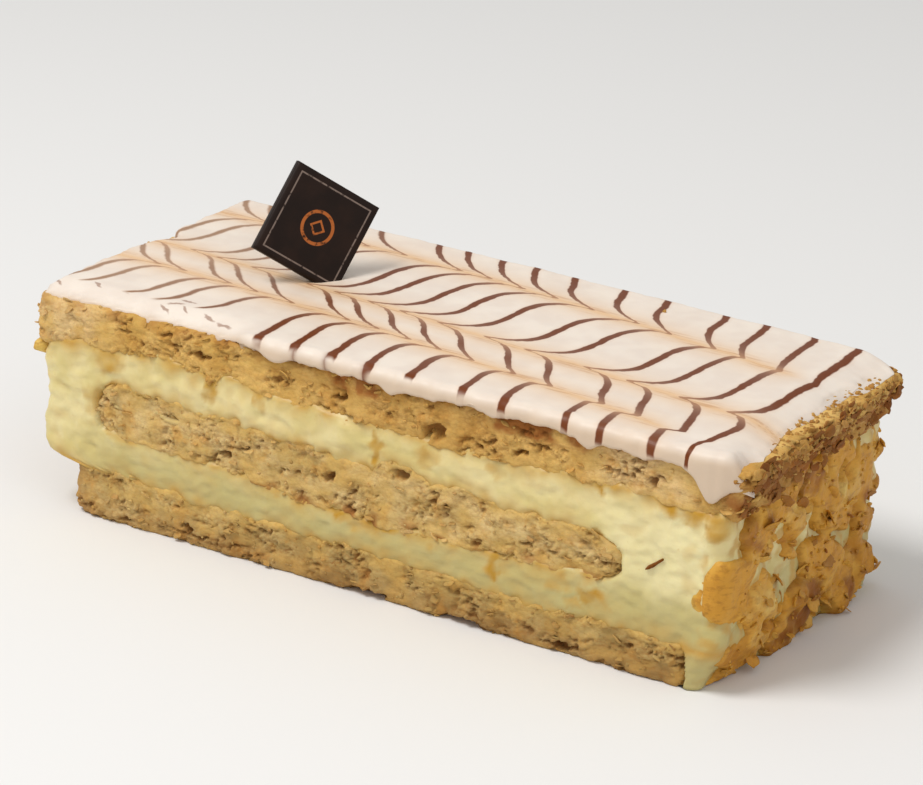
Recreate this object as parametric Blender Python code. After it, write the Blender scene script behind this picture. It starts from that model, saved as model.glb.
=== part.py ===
"""A slice of mille feuille: three sheets of baked puff pastry with two layers of pastry cream
between them, a poured icing on top, a coat of pastry flakes on each short end, and a small
chocolate plaque pushed into the icing. The long sides are knife cuts, so every layer shows there
and runs through. Lengths here are millimetres, with X along the slice, Y from the front cut to
the back cut and Z up, and each mesh is scaled to metres when it is made."""

import math

import bmesh
import bpy
import numpy as np
from mathutils import Matrix, Vector, noise

MILLIMETRE = 0.001
GAP = 0.3  # Between neighbouring pieces.

# The slice in plan.
FRONT = -25.0
BACK = 30.0
LEFT_END = -65.0
RIGHT_END = 62.0
BACK_TAPER = 5.0  # The back cut runs in towards the right end by this much.
FOOT_RECESS = 3.2  # The right end is worn back here, at its foot by the front cut.
FOOT_HEIGHT = 9.0

# Where each layer starts and stops along the slice.
BASE_ENDS = (-57.0, 53.0)
MIDDLE_ENDS = (-52.0, 43.0)
TOP_ENDS = (-64.0, 61.5)
LOWER_CREAM_ENDS = (-62.0, 58.0)
UPPER_CREAM_ENDS = (-63.0, 58.0)
ICING_ENDS = (-64.6, 60.8)

# Where the creams step down past the ends of the middle sheet. The sheets above and below are
# cut at the same places, so that their faces match.
MIDDLE_STEPS = (
    MIDDLE_ENDS[0] - 2.0 * GAP,
    MIDDLE_ENDS[0] - GAP,
    MIDDLE_ENDS[1] + GAP,
    MIDDLE_ENDS[1] + 2.0 * GAP,
)

# Heights at these places along the front cut, and even heights along the back cut.
STATIONS = (-65.0, -50.0, -30.0, -10.0, 10.0, 30.0, 50.0, 66.0)
BASE_TOP = (8.4, 8.3, 8.0, 8.0, 7.5, 7.0, 6.6, 6.3)
MIDDLE_BOTTOM = (15.2, 15.0, 14.3, 13.0, 12.8, 13.0, 13.5, 14.0)
MIDDLE_TOP = (23.8, 23.5, 22.6, 21.8, 21.4, 20.6, 20.4, 20.4)
TOP_BOTTOM = (29.0, 29.5, 30.5, 30.0, 29.2, 28.6, 28.3, 28.3)
TOP_TOP = (35.5, 35.6, 35.7, 35.7, 35.6, 35.6, 35.5, 35.4)
DRIP_ENDS = (35.8, 35.8, 35.7, 34.6, 34.5, 34.6, 33.4, 33.0)
BACK_LEVELS = {
    BASE_TOP: 7.8,
    MIDDLE_BOTTOM: 13.8,
    MIDDLE_TOP: 21.8,
    TOP_BOTTOM: 29.2,
    TOP_TOP: 36.0,
}
RIPPLE = 0.55  # Unevenness of each sheet's faces.
TOP_RIPPLE = 0.2  # Less under the icing, which lies almost flat.
CUT_LUMP = 0.45  # Unevenness of the cut sides.
END_LUMP = 0.5  # Unevenness of the ends.
CELL = 4.8  # Distance between the rows of corners along a layer.
LEAST_CELL = 0.9  # Rows nearer than this would leave slivers.
CELLS_ACROSS = 7
SIDE_ROWS = (0.34, 0.67)  # Shares of a layer's height where its sides have corners too.

# How the ends of the layers stand out or are worn back.
BASE_END_STANDS = 0.6
BASE_END_WORN = 0.8
BASE_HEIGHT = 8.0
MIDDLE_END_BACK = 0.3
MIDDLE_END_WORN = 0.06
MIDDLE_HALF_WAY_UP = 17.5
TOP_RIM_STANDS = 1.6
TOP_RIM_HEIGHTS = (31.0, 34.0)
TOP_LEFT_BACK = 0.5
CREAM_PAST_BASE = 0.8
CREAM_RIGHT_BACK = 0.6
CREAMS_MEET = 19.0
LOWER_BULGE = (13.0, 6.0, 1.0, 1.6)  # Its height, half height, how far it stands out, its wear.
UPPER_BULGE = (25.0, 5.0, 0.8, 1.2)

ICING_THICKNESS = 1.7
ICING_ROLL = 1.0
CORNER_DRIP_AT = 55.5
CORNER_DRIP_WIDTH = 2.6
CORNER_DRIP_FALL = 3.6
BACK_DRIP = 0.9
FLAT_FROM = 4.0  # The flat of the icing starts this far in from each cut.

COAT_HEIGHT = 27.6
COAT_LUMP = 0.9
COAT_FLARE = 1.6
LEFT_COAT_THICKNESS = 1.5
LEFT_COAT_FOOT = 9.2
LEFT_COAT_INSETS = (5.0, 1.0)  # From the front and back cuts.
RIGHT_COAT_THICKNESS = 3.8
RIGHT_COAT_LAP = 4.0

PLAQUE_SIDE = 15.6
PLAQUE_THICKNESS = 1.8
PLAQUE_FACES = 54.5  # Degrees from the front towards the right end.
PLAQUE_LEANS = 14.2
PLAQUE_TURNED = 33.5  # Degrees that one side slopes down, so that it stands on a corner.
PLAQUE_TOP_CORNER = (-33.3, 2.3, 56.9)


def even(value, low, high):
    """0 below low and 1 above high, with a smooth rise between them."""
    share = min(max((value - low) / (high - low), 0.0), 1.0)
    return share * share * (3.0 - 2.0 * share)


def back_edge(x):
    share = max(x - LEFT_END, 0.0) / (RIGHT_END - LEFT_END)
    return BACK - BACK_TAPER * share**1.6


def ripple(x, y, seed, reach=7.0):
    return noise.noise(Vector((x / reach, y / reach, seed * 7.3)))


def across(x, y):
    """0 on the front cut and 1 on the back cut."""
    return (y - FRONT) / (back_edge(x) - FRONT)


def worn_foot(y, z):
    """1 at the foot of the right end by the front cut, and 0 well away from it."""
    return (1.0 - even(z, 0.0, FOOT_HEIGHT)) * (1.0 - across(RIGHT_END, y))


def level(heights, x, y):
    """Height of one face of a sheet: its front profile eases into its even back height."""
    at_front = float(np.interp(x, STATIONS, heights))
    mixed = at_front + (BACK_LEVELS[heights] - at_front) * across(x, y)
    uneven = TOP_RIPPLE if heights is TOP_TOP else RIPPLE
    return mixed + uneven * ripple(x, y, BACK_LEVELS[heights])


def between(ends, extra=()):
    """Positions that cut a run across: the same every CELL for all layers, so that faces which
    meet are cut alike, with any extra ones."""
    first, last = math.ceil(ends[0] / CELL), math.floor(ends[1] / CELL)
    steady = [CELL * step for step in range(first, last + 1)]
    clear = [x for x in steady if all(abs(x - y) > LEAST_CELL for y in (*ends, *extra))]
    return sorted({*clear, *extra})


def brick(low, high, cuts, place):
    """A box, cut across by planes, whose corners all move to their place in the slice."""
    work = bmesh.new()
    bmesh.ops.create_cube(work, size=1.0)
    size = Vector(high) - Vector(low)
    for corner in work.verts:
        corner.co = Vector(low) + size * 0.5 + Vector(map(float.__mul__, corner.co, size))
    for axis, positions in enumerate(cuts):
        normal = Vector((0.0, 0.0, 0.0))
        normal[axis] = 1.0
        for position in positions:
            everything = work.verts[:] + work.edges[:] + work.faces[:]
            bmesh.ops.bisect_plane(
                work, geom=everything, plane_co=normal * position, plane_no=normal
            )
    for corner in work.verts:
        corner.co = Vector(place(*corner.co)) * MILLIMETRE
    if work.calc_volume(signed=True) < 0.0:
        bmesh.ops.reverse_faces(work, faces=work.faces)
    bmesh.ops.triangulate(work, faces=work.faces, quad_method="SHORT_EDGE")
    return work


def material(name, colour, roughness):
    made = bpy.data.materials.new(name)
    made.use_nodes = True
    made.diffuse_color = (*colour, 1.0)
    shader = made.node_tree.nodes["Principled BSDF"]
    shader.inputs["Base Color"].default_value = (*colour, 1.0)
    shader.inputs["Roughness"].default_value = roughness
    shader.inputs["Metallic"].default_value = 0.0
    return made


def piece(name, work, finish):
    mesh = bpy.data.meshes.new(name)
    work.to_mesh(mesh)
    work.free()
    mesh.materials.append(finish)
    mesh.shade_smooth()
    mesh.set_sharp_from_angle(angle=math.radians(35.0))
    made = bpy.data.objects.new(name, mesh)
    bpy.data.collections["mille_feuille_slice"].objects.link(made)
    return made


def layer(name, ends, bottom, top, finish, extra=(), end_shape=None):
    """One layer of the slice. bottom and top give heights for a place in plan, and end_shape
    says how far each end stands out at a height."""

    def place(x, v, w):
        y = FRONT + (back_edge(x) - FRONT) * v
        low = bottom(x, y)
        z = low + (top(x, y) - low) * w
        if v < 0.01 or v > 0.99:
            y += CUT_LUMP * noise.noise(Vector((x / 3.0, z / 2.0, 1.7)))
        for side, end in zip((-1.0, 1.0), ends):
            if abs(x - end) < 0.01 and end_shape:
                x += side * (end_shape(side, y, z) + END_LUMP * ripple(y, z, 3.1))
        return x, y, z

    rows_across = [step / CELLS_ACROSS for step in range(1, CELLS_ACROSS)]
    cuts = (between(ends, extra), rows_across, SIDE_ROWS)
    work = brick((ends[0], 0.0, 0.0), (ends[1], 1.0, 1.0), cuts, place)
    return piece(name, work, finish)


def seam(x, y):
    """Where the two creams meet, past the ends of the middle sheet."""
    return 0.5 * (level(MIDDLE_BOTTOM, x, y) + level(MIDDLE_TOP, x, y))


def beside_middle(x):
    return MIDDLE_ENDS[0] - 1.5 * GAP < x < MIDDLE_ENDS[1] + 1.5 * GAP


def make_pastry(finish):
    def base_end(side, y, z):
        return BASE_END_STANDS - BASE_END_WORN * abs(z / BASE_HEIGHT - 0.5)

    def middle_end(side, y, z):
        return -MIDDLE_END_BACK - MIDDLE_END_WORN * abs(z - MIDDLE_HALF_WAY_UP)

    def top_end(side, y, z):
        rim = TOP_RIM_STANDS * even(z, *TOP_RIM_HEIGHTS)
        return rim - (0.0 if side > 0.0 else TOP_LEFT_BACK)

    layer(
        "bottom_pastry",
        BASE_ENDS,
        lambda x, y: 0.0,
        lambda x, y: level(BASE_TOP, x, y),
        finish,
        extra=MIDDLE_STEPS,
        end_shape=base_end,
    )
    layer(
        "middle_pastry",
        MIDDLE_ENDS,
        lambda x, y: level(MIDDLE_BOTTOM, x, y),
        lambda x, y: level(MIDDLE_TOP, x, y),
        finish,
        end_shape=middle_end,
    )
    layer(
        "top_pastry",
        TOP_ENDS,
        lambda x, y: level(TOP_BOTTOM, x, y),
        lambda x, y: level(TOP_TOP, x, y),
        finish,
        extra=MIDDLE_STEPS,
        end_shape=top_end,
    )


def make_cream(finish):
    """Each layer of cream laps the ends of the middle sheet, and the lower one also covers the
    right end of the bottom sheet."""
    base_end = BASE_ENDS[1] + CREAM_PAST_BASE
    base_steps = (base_end + GAP, base_end + 2.0 * GAP)

    def lower_bottom(x, y):
        past_base = x > base_steps[0] + 0.5 * GAP
        return GAP if past_base else level(BASE_TOP, x, y) + GAP

    def lower_top(x, y):
        if beside_middle(x):
            return level(MIDDLE_BOTTOM, x, y) - GAP
        return seam(x, y) - 0.5 * GAP

    def upper_bottom(x, y):
        if beside_middle(x):
            return level(MIDDLE_TOP, x, y) + GAP
        return seam(x, y) + 0.5 * GAP

    def swell(side, y, z):
        """The left end bulges below each sheet, and the right end is smoothed flat."""
        if side > 0.0:
            return -CREAM_RIGHT_BACK - FOOT_RECESS * worn_foot(y, z)
        height, half, stands, worn = LOWER_BULGE if z < CREAMS_MEET else UPPER_BULGE
        return stands - worn * abs(z - height) / half

    layer(
        "lower_cream",
        LOWER_CREAM_ENDS,
        lower_bottom,
        lower_top,
        finish,
        extra=MIDDLE_STEPS + base_steps,
        end_shape=swell,
    )
    layer(
        "upper_cream",
        UPPER_CREAM_ENDS,
        upper_bottom,
        lambda x, y: level(TOP_BOTTOM, x, y) - GAP,
        finish,
        extra=MIDDLE_STEPS,
        end_shape=swell,
    )


def make_icing(finish):
    """The icing lies on the top sheet and rolls over both cut edges, where it ends in drips."""
    seat = GAP + 0.7 * CUT_LUMP  # Clear of the lumps on the cut face.

    def rolled(row, w, edge, inward, drip, rest):
        """A corner of the roll, from the drip's end at row 0 up to the flat at row 4."""
        outward = -inward
        inner = ((seat, drip), (seat, rest - 0.4), (seat - 0.4, rest), (-1.6, rest), (-FLAT_FROM, rest))
        top = rest + ICING_THICKNESS
        outer = (
            (seat + 0.6 * ICING_ROLL, drip + 0.1),
            (seat + ICING_ROLL, 0.5 * (drip + rest) + 0.2),
            (seat + 0.7 * ICING_ROLL, rest + 0.55 * ICING_THICKNESS),
            (-0.9, top - 0.1),
            (-FLAT_FROM, top),
        )
        along = [a + (b - a) * w for a, b in zip(inner[row], outer[row])]
        return edge + outward * along[0], along[1]

    rows_across = 6
    last = 8 + rows_across

    def place(x, row, w):
        row = round(row)
        front_drip = float(np.interp(x, STATIONS, DRIP_ENDS))
        front_drip -= 0.35 * max(0.0, ripple(x, 0.0, 5.2, reach=3.0))
        fall = math.exp(-(((x - CORNER_DRIP_AT) / CORNER_DRIP_WIDTH) ** 2))
        front_drip -= CORNER_DRIP_FALL * fall
        left_corner = 3.0 * (1.0 - even(x, ICING_ENDS[0], ICING_ENDS[0] + 7.0))
        if row <= 4:
            rest = level(TOP_TOP, x, FRONT) + GAP
            y, z = rolled(row, w, FRONT, 1.0, front_drip, rest)
        elif row >= last - 4:
            rest = level(TOP_TOP, x, back_edge(x)) + GAP
            y, z = rolled(last - row, w, back_edge(x), -1.0, rest - BACK_DRIP, rest)
        else:
            share = (row - 4) / (last - 8)
            y = FRONT + FLAT_FROM + (back_edge(x) - FRONT - 2.0 * FLAT_FROM) * share
            z = level(TOP_TOP, x, y) + GAP + ICING_THICKNESS * w
        # The corners are rounded in plan, and stay clear of the pastry below.
        if row <= 4 and z > level(TOP_TOP, x, FRONT) + 0.5 * GAP:
            y += 0.35 * left_corner * even(w, 0.0, 1.0) * (4 - row) / 4.0
        if x <= ICING_ENDS[0] + 0.01:
            x += 0.9 * w + 1.2 * (1.0 - even(y, FRONT, FRONT + 7.0)) + 0.4 * ripple(y, 0.0, 8.8)
        if x >= ICING_ENDS[1] - 0.01:
            x -= 0.9 * w - 0.7 * ripple(y, 0.0, 9.4, reach=9.0)
        return x, y, z

    near_drip = [CORNER_DRIP_AT + step * CORNER_DRIP_WIDTH * 0.5 for step in (-3, -1, 0, 1)]
    cuts = (between(ICING_ENDS, near_drip), range(1, last), (0.5,))
    low = (ICING_ENDS[0], 0.0, 0.0)
    high = (ICING_ENDS[1], float(last), 1.0)
    piece("icing", brick(low, high, cuts, place), finish)


def make_coat(name, side, inner_x, front_y, back_y, lap, thickness, foot, finish):
    """The flakes on one short end, out to their uneven outline. The coat follows the end of the
    cream from the front to the back, and laps round onto each cut face by lap. Only the right
    one reaches the foot, where it is worn by the front cut and stands out by the back one."""
    columns = 14
    rows = 10

    def place(column, row, w):
        column, row = round(column), round(row)
        turned = min(column, columns - column)
        z = foot + (COAT_HEIGHT - foot) * row / rows
        if lap and turned == 0:
            middle = 0.5 * (foot + COAT_HEIGHT)
            z = middle + (z - middle) * 0.62
        first = 1 if lap else 0
        share = min(max((column - first) / (columns - 2 * first), 0.0), 1.0)
        y = front_y + (back_y - front_y) * share
        worn = worn_foot(max(y, FRONT), z) if side > 0.0 else 0.0
        out = thickness * (1.0 - 0.35 * worn)
        out += COAT_LUMP * ripple(y + 9.0 * side, z, 4.4, reach=5.0)
        out += COAT_FLARE * (1.0 - even(z, foot, foot + 7.0)) * share * (1.0 if lap else 0.4)
        out *= 1.0 - 0.35 * even(z, COAT_HEIGHT - 5.0, COAT_HEIGHT)
        if turned == 0:
            out *= 0.0 if lap else 0.5
        x = inner_x + side * (w * out - FOOT_RECESS * worn)
        if lap and turned == 0:
            x -= side * lap
        if lap and turned <= 1:
            stands = 0.9 + 0.4 * ripple(z, x, 6.1)
            y += w * stands * (-1.0 if column <= 1 else 1.0)
        return x, y, z

    cuts = (range(1, columns), range(1, rows), ())
    low, high = (0.0, 0.0, 0.0), (float(columns), float(rows), 1.0)
    piece(name, brick(low, high, cuts, place), finish)


def make_plaque(finish):
    """A thin square with softened edges. It stands on a corner, cut level where it meets the
    icing."""
    work = bmesh.new()
    bmesh.ops.create_cube(work, size=1.0)
    for corner in work.verts:
        corner.co.x *= PLAQUE_SIDE
        corner.co.y *= PLAQUE_THICKNESS
        corner.co.z *= PLAQUE_SIDE
    bmesh.ops.bevel(
        work,
        geom=work.edges[:],
        offset=0.25,
        segments=2,
        profile=0.5,
        affect="EDGES",
        clamp_overlap=True,
    )
    turn = (
        Matrix.Rotation(math.radians(PLAQUE_FACES), 4, "Z")
        @ Matrix.Rotation(math.radians(-PLAQUE_LEANS), 4, "X")
        @ Matrix.Rotation(math.radians(PLAQUE_TURNED), 4, "Y")
    )
    half = PLAQUE_SIDE / 2.0
    front_corner = turn @ Vector((-half, -PLAQUE_THICKNESS / 2.0, half))
    work.transform(Matrix.Translation(Vector(PLAQUE_TOP_CORNER) - front_corner) @ turn)
    highest = max(level(TOP_TOP, x, 2.0) for x in range(-36, -20)) + GAP + ICING_THICKNESS
    everything = work.verts[:] + work.edges[:] + work.faces[:]
    bmesh.ops.bisect_plane(
        work,
        geom=everything,
        plane_co=(0.0, 0.0, highest + GAP),
        plane_no=(0.0, 0.0, -1.0),
        clear_outer=True,
    )
    open_edges = [edge for edge in work.edges if edge.is_boundary]
    bmesh.ops.holes_fill(work, edges=open_edges)
    bmesh.ops.recalc_face_normals(work, faces=work.faces)
    work.transform(Matrix.Scale(MILLIMETRE, 4))
    piece("chocolate_plaque", work, finish)


def centre_on_origin():
    """Moves the slice so that the origin is under the middle of its box, at its foot."""
    made = bpy.data.collections["mille_feuille_slice"].objects
    corners = np.array([vertex.co for part in made for vertex in part.data.vertices])
    middle = (corners.min(axis=0) + corners.max(axis=0)) / 2.0
    for part in made:
        part.data.transform(Matrix.Translation((-middle[0], -middle[1], -corners[:, 2].min())))


def main():
    for leftover in list(bpy.data.objects):
        bpy.data.objects.remove(leftover)
    collection = bpy.data.collections.new("mille_feuille_slice")
    bpy.context.scene.collection.children.link(collection)

    pastry = material("baked_pastry", (0.40, 0.24, 0.09), 0.8)
    cream = material("pastry_cream", (0.68, 0.52, 0.23), 0.45)
    glaze = material("white_icing", (0.81, 0.70, 0.60), 0.2)
    flakes = material("pastry_flakes", (0.42, 0.22, 0.06), 0.6)
    chocolate = material("dark_chocolate", (0.030, 0.015, 0.008), 0.3)

    make_pastry(pastry)
    make_cream(cream)
    make_icing(glaze)
    left_face = UPPER_CREAM_ENDS[0] - 1.4
    front_y, back_y = FRONT + LEFT_COAT_INSETS[0], BACK - LEFT_COAT_INSETS[1]
    size = (0.0, LEFT_COAT_THICKNESS, LEFT_COAT_FOOT)
    make_coat("left_flake_coat", -1.0, left_face, front_y, back_y, *size, flakes)
    right_face = LOWER_CREAM_ENDS[1] + GAP
    front_y = FRONT - GAP - 0.3
    back_y = back_edge(right_face) + GAP + 0.3
    size = (RIGHT_COAT_LAP, RIGHT_COAT_THICKNESS, 0.0)
    make_coat("right_flake_coat", 1.0, right_face, front_y, back_y, *size, flakes)
    make_plaque(chocolate)
    centre_on_origin()


main()
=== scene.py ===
"""The looks of a slice of mille feuille: cut and baked puff pastry, pastry cream, poured icing
feathered with chocolate, crushed flakes on the ends and a small chocolate plaque.
Shapes are worked out in millimetres, in places counted along the slice from its left end, across
it from its front cut, and up from its foot."""

import itertools
import math

import bmesh
import bpy
import numpy as np
from mathutils import Matrix, Vector
from mathutils.bvhtree import BVHTree


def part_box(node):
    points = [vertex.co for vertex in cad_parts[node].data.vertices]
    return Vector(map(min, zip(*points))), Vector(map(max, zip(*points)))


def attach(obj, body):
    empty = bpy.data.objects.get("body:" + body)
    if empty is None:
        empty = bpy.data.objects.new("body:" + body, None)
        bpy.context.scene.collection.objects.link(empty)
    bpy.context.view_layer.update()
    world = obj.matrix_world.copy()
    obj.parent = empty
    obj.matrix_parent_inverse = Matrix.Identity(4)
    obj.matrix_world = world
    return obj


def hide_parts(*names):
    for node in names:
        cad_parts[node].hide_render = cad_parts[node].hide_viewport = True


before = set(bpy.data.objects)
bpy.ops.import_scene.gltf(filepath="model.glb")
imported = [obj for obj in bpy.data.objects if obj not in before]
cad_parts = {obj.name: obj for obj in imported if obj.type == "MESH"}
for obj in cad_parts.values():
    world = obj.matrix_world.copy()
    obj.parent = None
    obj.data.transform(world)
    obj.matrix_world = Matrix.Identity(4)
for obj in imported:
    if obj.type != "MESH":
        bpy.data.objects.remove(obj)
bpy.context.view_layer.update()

# ---- The studio ---------------------------------------------------------------------------
# A plain pale floor under an even pale sky, one large soft lamp from the front left and above,
# a weaker wide one from the right, and a camera a little above the slice at its front right.

scene = bpy.context.scene
scene.view_settings.view_transform = "Standard"


def aim(place, target, roll=0.0):
    """A matrix for a camera or lamp that stands at place and looks at target."""
    away = (place - target).normalized()
    right = Vector((0.0, 0.0, 1.0)).cross(away).normalized()
    up = away.cross(right)
    turned = Matrix.Rotation(roll, 3, away)
    matrix = Matrix((turned @ right, turned @ up, away)).transposed().to_4x4()
    matrix.translation = place
    return matrix


def direction(azimuth, elevation):
    """The way from the slice to something seen at these angles, in degrees, from its front."""
    turn, lift = math.radians(azimuth), math.radians(elevation)
    return Vector(
        (math.sin(turn) * math.cos(lift), -math.cos(turn) * math.cos(lift), math.sin(lift))
    )


camera = bpy.data.objects.new("camera", bpy.data.cameras.new("camera"))
camera.data.sensor_width = 36.0
camera.data.lens = 123.2
camera.data.clip_start = 0.01
looked_at = Vector((-0.0035, 0.0046, 0.02275))
camera.matrix_world = aim(looked_at + 0.5 * direction(31.3, 20.7), looked_at, math.radians(2.0))
scene.collection.objects.link(camera)
scene.camera = camera


def lamp(name, azimuth, elevation, distance, size, power, colour):
    light = bpy.data.lights.new(name, "AREA")
    light.shape = "DISK"
    light.size = size
    light.energy = power
    light.color = colour
    made = bpy.data.objects.new(name, light)
    middle = Vector((0.0, 0.0, 0.02))
    made.matrix_world = aim(middle + distance * direction(azimuth, elevation), middle)
    scene.collection.objects.link(made)


lamp("key_lamp", -30.0, 60.0, 0.9, 0.36, 5.0, (1.0, 0.98, 0.95))
lamp("fill_lamp", 60.0, 35.0, 1.3, 0.9, 1.6, (1.0, 0.97, 0.93))

sky = bpy.data.worlds.new("sky")
sky.use_nodes = True
sky.node_tree.nodes["Background"].inputs["Color"].default_value = (1.0, 0.99, 0.97, 1.0)
sky.node_tree.nodes["Background"].inputs["Strength"].default_value = 0.56
scene.world = sky

floor_mesh = bpy.data.meshes.new("floor")
half = 2.5
floor_mesh.from_pydata(
    [(-half, -half, 0.0), (half, -half, 0.0), (half, half, 0.0), (-half, half, 0.0)],
    [],
    [(0, 1, 2, 3)],
)
floor = bpy.data.objects.new("floor", floor_mesh)
scene.collection.objects.link(floor)

# ---- Bottom sheet of pastry ---------------------------------------------------------------
# Puff pastry baked flat and cut with a saw knife: hundreds of crisp leaves with holes between
# them, tan where cut, with painted shade inside the holes. It carries the slice and rests on the floor.

MM = 0.001
LEFT = -63.57  # The left end of the slice and its front cut, in the frame's millimetres.
FRONT = -27.47
LENGTH = 127.0


def to_frame(along, across, up):
    """Places counted from the left end, the front cut and the foot, as the frame's metres."""
    return np.stack([along + LEFT, across + FRONT, up], axis=-1) * MM


def ends_of(node):
    """The lowest and highest corner of a piece of the frame, as places in the slice."""
    low, high = (np.array(corner) / MM - (LEFT, FRONT, 0.0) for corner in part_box(node))
    return low, high


def solid(node):
    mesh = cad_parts[node].data
    corners = [corner.co / MM - Vector((LEFT, FRONT, 0.0)) for corner in mesh.vertices]
    return BVHTree.FromPolygons(corners, [face.vertices for face in mesh.polygons])


def back_cut(along):
    """The back cut runs in a little towards the right end."""
    return 55.0 - 5.0 * (np.clip(along, 0.0, LENGTH) / LENGTH) ** 1.6


def layer_face(node, upper):
    """The height of a layer's upper or lower face, for any place in plan, felt on the frame."""
    low, high = ends_of(node)
    body = solid(node)
    along = np.linspace(low[0] + 3.0, high[0] - 5.0, 48)
    across = (2.0, 47.0)
    start, way = (high[2] + 5.0, -1.0) if upper else (low[2] - 5.0, 1.0)
    runs = [
        [body.ray_cast((x, y, start), (0.0, 0.0, way))[0].z for x in along] for y in across
    ]

    def height(x, y):
        near, far = (np.interp(x, along, run) for run in runs)
        return near + (far - near) * (y - across[0]) / (across[1] - across[0])

    return height


def noise(places, size, seed):
    """Smooth noise from about -1 to 1, with bumps about size across."""
    pulls = np.random.default_rng(seed).normal(size=(4096, 3))
    pulls /= np.linalg.norm(pulls, axis=1, keepdims=True)
    scaled = places / size
    cell = np.floor(scaled).astype(np.int64)
    inside = scaled - cell
    ease = inside**3 * (inside * (inside * 6.0 - 15.0) + 10.0)
    total = np.zeros(places.shape[:-1])
    for corner in itertools.product((0, 1), repeat=3):
        a, b, c = np.moveaxis(cell + corner, -1, 0)
        pull = pulls[(a * 73856093 ^ b * 19349663 ^ c * 83492791) % 4096]
        weight = np.prod(np.where(corner, ease, 1.0 - ease), axis=-1)
        total += weight * np.sum(pull * (inside - corner), axis=-1)
    return 1.6 * total


def rise(value, low, high):
    """0 below low and 1 above high, with a smooth rise between them."""
    share = np.clip((value - low) / (high - low), 0.0, 1.0)
    return share * share * (3.0 - 2.0 * share)


def inside(value, low, high, soft):
    """1 well between low and high, 0 outside them, with a soft change of that width."""
    return rise(value, low - soft, low + soft) * (1.0 - rise(value, high - soft, high + soft))


def round_trip(left, right, front, back, corner, step):
    """Even places round a block in plan, anticlockwise from its front right corner, and the way
    out at each. The back follows the tapered back cut."""
    path = []
    middles = (
        (right - corner, front + corner, -90.0),
        (right - corner, back - corner, 0.0),
        (left + corner, back - corner, 90.0),
        (left + corner, front + corner, 180.0),
    )
    for x, y, start in middles:
        for turn in np.radians(np.linspace(start, start + 90.0, 9)):
            out = (math.cos(turn), math.sin(turn))
            path.append((x + corner * out[0], y + corner * out[1], *out))
    path = np.array(path + path[:1])
    length = np.cumsum(np.hypot(*np.diff(path[:, :2], axis=0).T))
    length = np.concatenate([[0.0], length])
    gone = np.arange(0.0, length[-1], step)
    x, y, out_x, out_y = (np.interp(gone, length, column) for column in path.T)
    taper = (back_cut(x) - front) / (back_cut(left) - front)
    y = front + (y - front) * np.where(y > front, taper, 1.0)
    return x, y, out_x, out_y


def grid_faces(columns, rows, closed):
    """Quads between neighbouring columns of points. closed joins the last one to the first."""
    first = np.arange(columns if closed else columns - 1)[:, None]
    second = (first + 1) % columns
    row = np.arange(rows - 1)[None, :]
    a, b = first * rows + row, second * rows + row
    return np.stack([a, b, b + 1, a + 1], axis=-1).reshape(-1, 4)


def put(name, points, faces, finish, **marks):
    """Makes a piece of the slice from its points and faces. marks are values kept at each
    point for its finish."""
    mesh = bpy.data.meshes.new(name)
    mesh.from_pydata(to_frame(*points.T), [], faces)
    for mark, values in marks.items():
        kept = mesh.attributes.new(mark, "FLOAT", "POINT")
        kept.data.foreach_set("value", np.asarray(values, np.float32))
    mesh.materials.append(finish)
    mesh.shade_smooth()
    made = bpy.data.objects.new(name, mesh)
    scene.collection.objects.link(made)
    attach(made, "root")
    return made


def close_block(points, columns, rows):
    """The faces of a ring of columns, with a lid on its foot and on its top. Each lid steps in
    from the rim to a middle point. Returns the points with the lids' own, and all faces."""
    faces = grid_faces(columns, rows, True).tolist()
    points = points.reshape(-1, 3)
    middle = points.mean(axis=0)
    for row, flip in ((0, True), (rows - 1, False)):
        rim = np.arange(columns) * rows + row
        for share in (0.97, 0.85, 0.0):
            height = points[rim][:, 2]
            if share:
                inner = middle + (points[rim] - middle) * (share, share, 0.0)
                inner[:, 2] = height
                added = len(points) + np.arange(columns)
                points = np.concatenate([points, inner])
                ring = np.stack([rim, np.roll(rim, -1), np.roll(added, -1), added], axis=-1)
                faces += (ring[:, ::-1] if flip else ring).tolist()
                rim = added
            else:
                centre = np.array([[middle[0], middle[1], height.mean()]])
                at = len(points)
                points = np.concatenate([points, centre])
                fan = np.stack([rim, np.roll(rim, -1), np.full(columns, at)], axis=-1)
                faces += (fan[:, ::-1] if flip else fan).tolist()
    return points, faces


class Value:
    """A value inside a finish. Arithmetic on it adds the nodes for it."""

    def __init__(self, finish, socket):
        self.finish = finish
        self.socket = socket

    def maths(self, operation, *values):
        inputs = dict(enumerate(values))
        return self.finish.node("ShaderNodeMath", {"operation": operation}, inputs)

    def __add__(self, other):
        return self.maths("ADD", self, other)

    def __radd__(self, other):
        return self.maths("ADD", other, self)

    def __sub__(self, other):
        return self.maths("SUBTRACT", self, other)

    def __rsub__(self, other):
        return self.maths("SUBTRACT", other, self)

    def __mul__(self, other):
        return self.maths("MULTIPLY", self, other)

    def __rmul__(self, other):
        return self.maths("MULTIPLY", other, self)

    def __truediv__(self, other):
        return self.maths("DIVIDE", self, other)

    def __pow__(self, other):
        return self.maths("POWER", self, other)

    def __abs__(self):
        return self.maths("ABSOLUTE", self)

    def least(self, other):
        return self.maths("MINIMUM", self, other)

    def most(self, other):
        return self.maths("MAXIMUM", self, other)

    def fade(self, reach):
        """1 at zero, falling away over about reach."""
        return self.maths("EXPONENT", self * (-1.0 / reach))

    def rise(self, low, high):
        """0 at low and 1 at high, with a smooth rise between them. low may be the larger."""
        settings = {"interpolation_type": "SMOOTHSTEP"}
        inputs = {"Value": self, "From Min": low, "From Max": high}
        return self.finish.node("ShaderNodeMapRange", settings, inputs)


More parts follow.
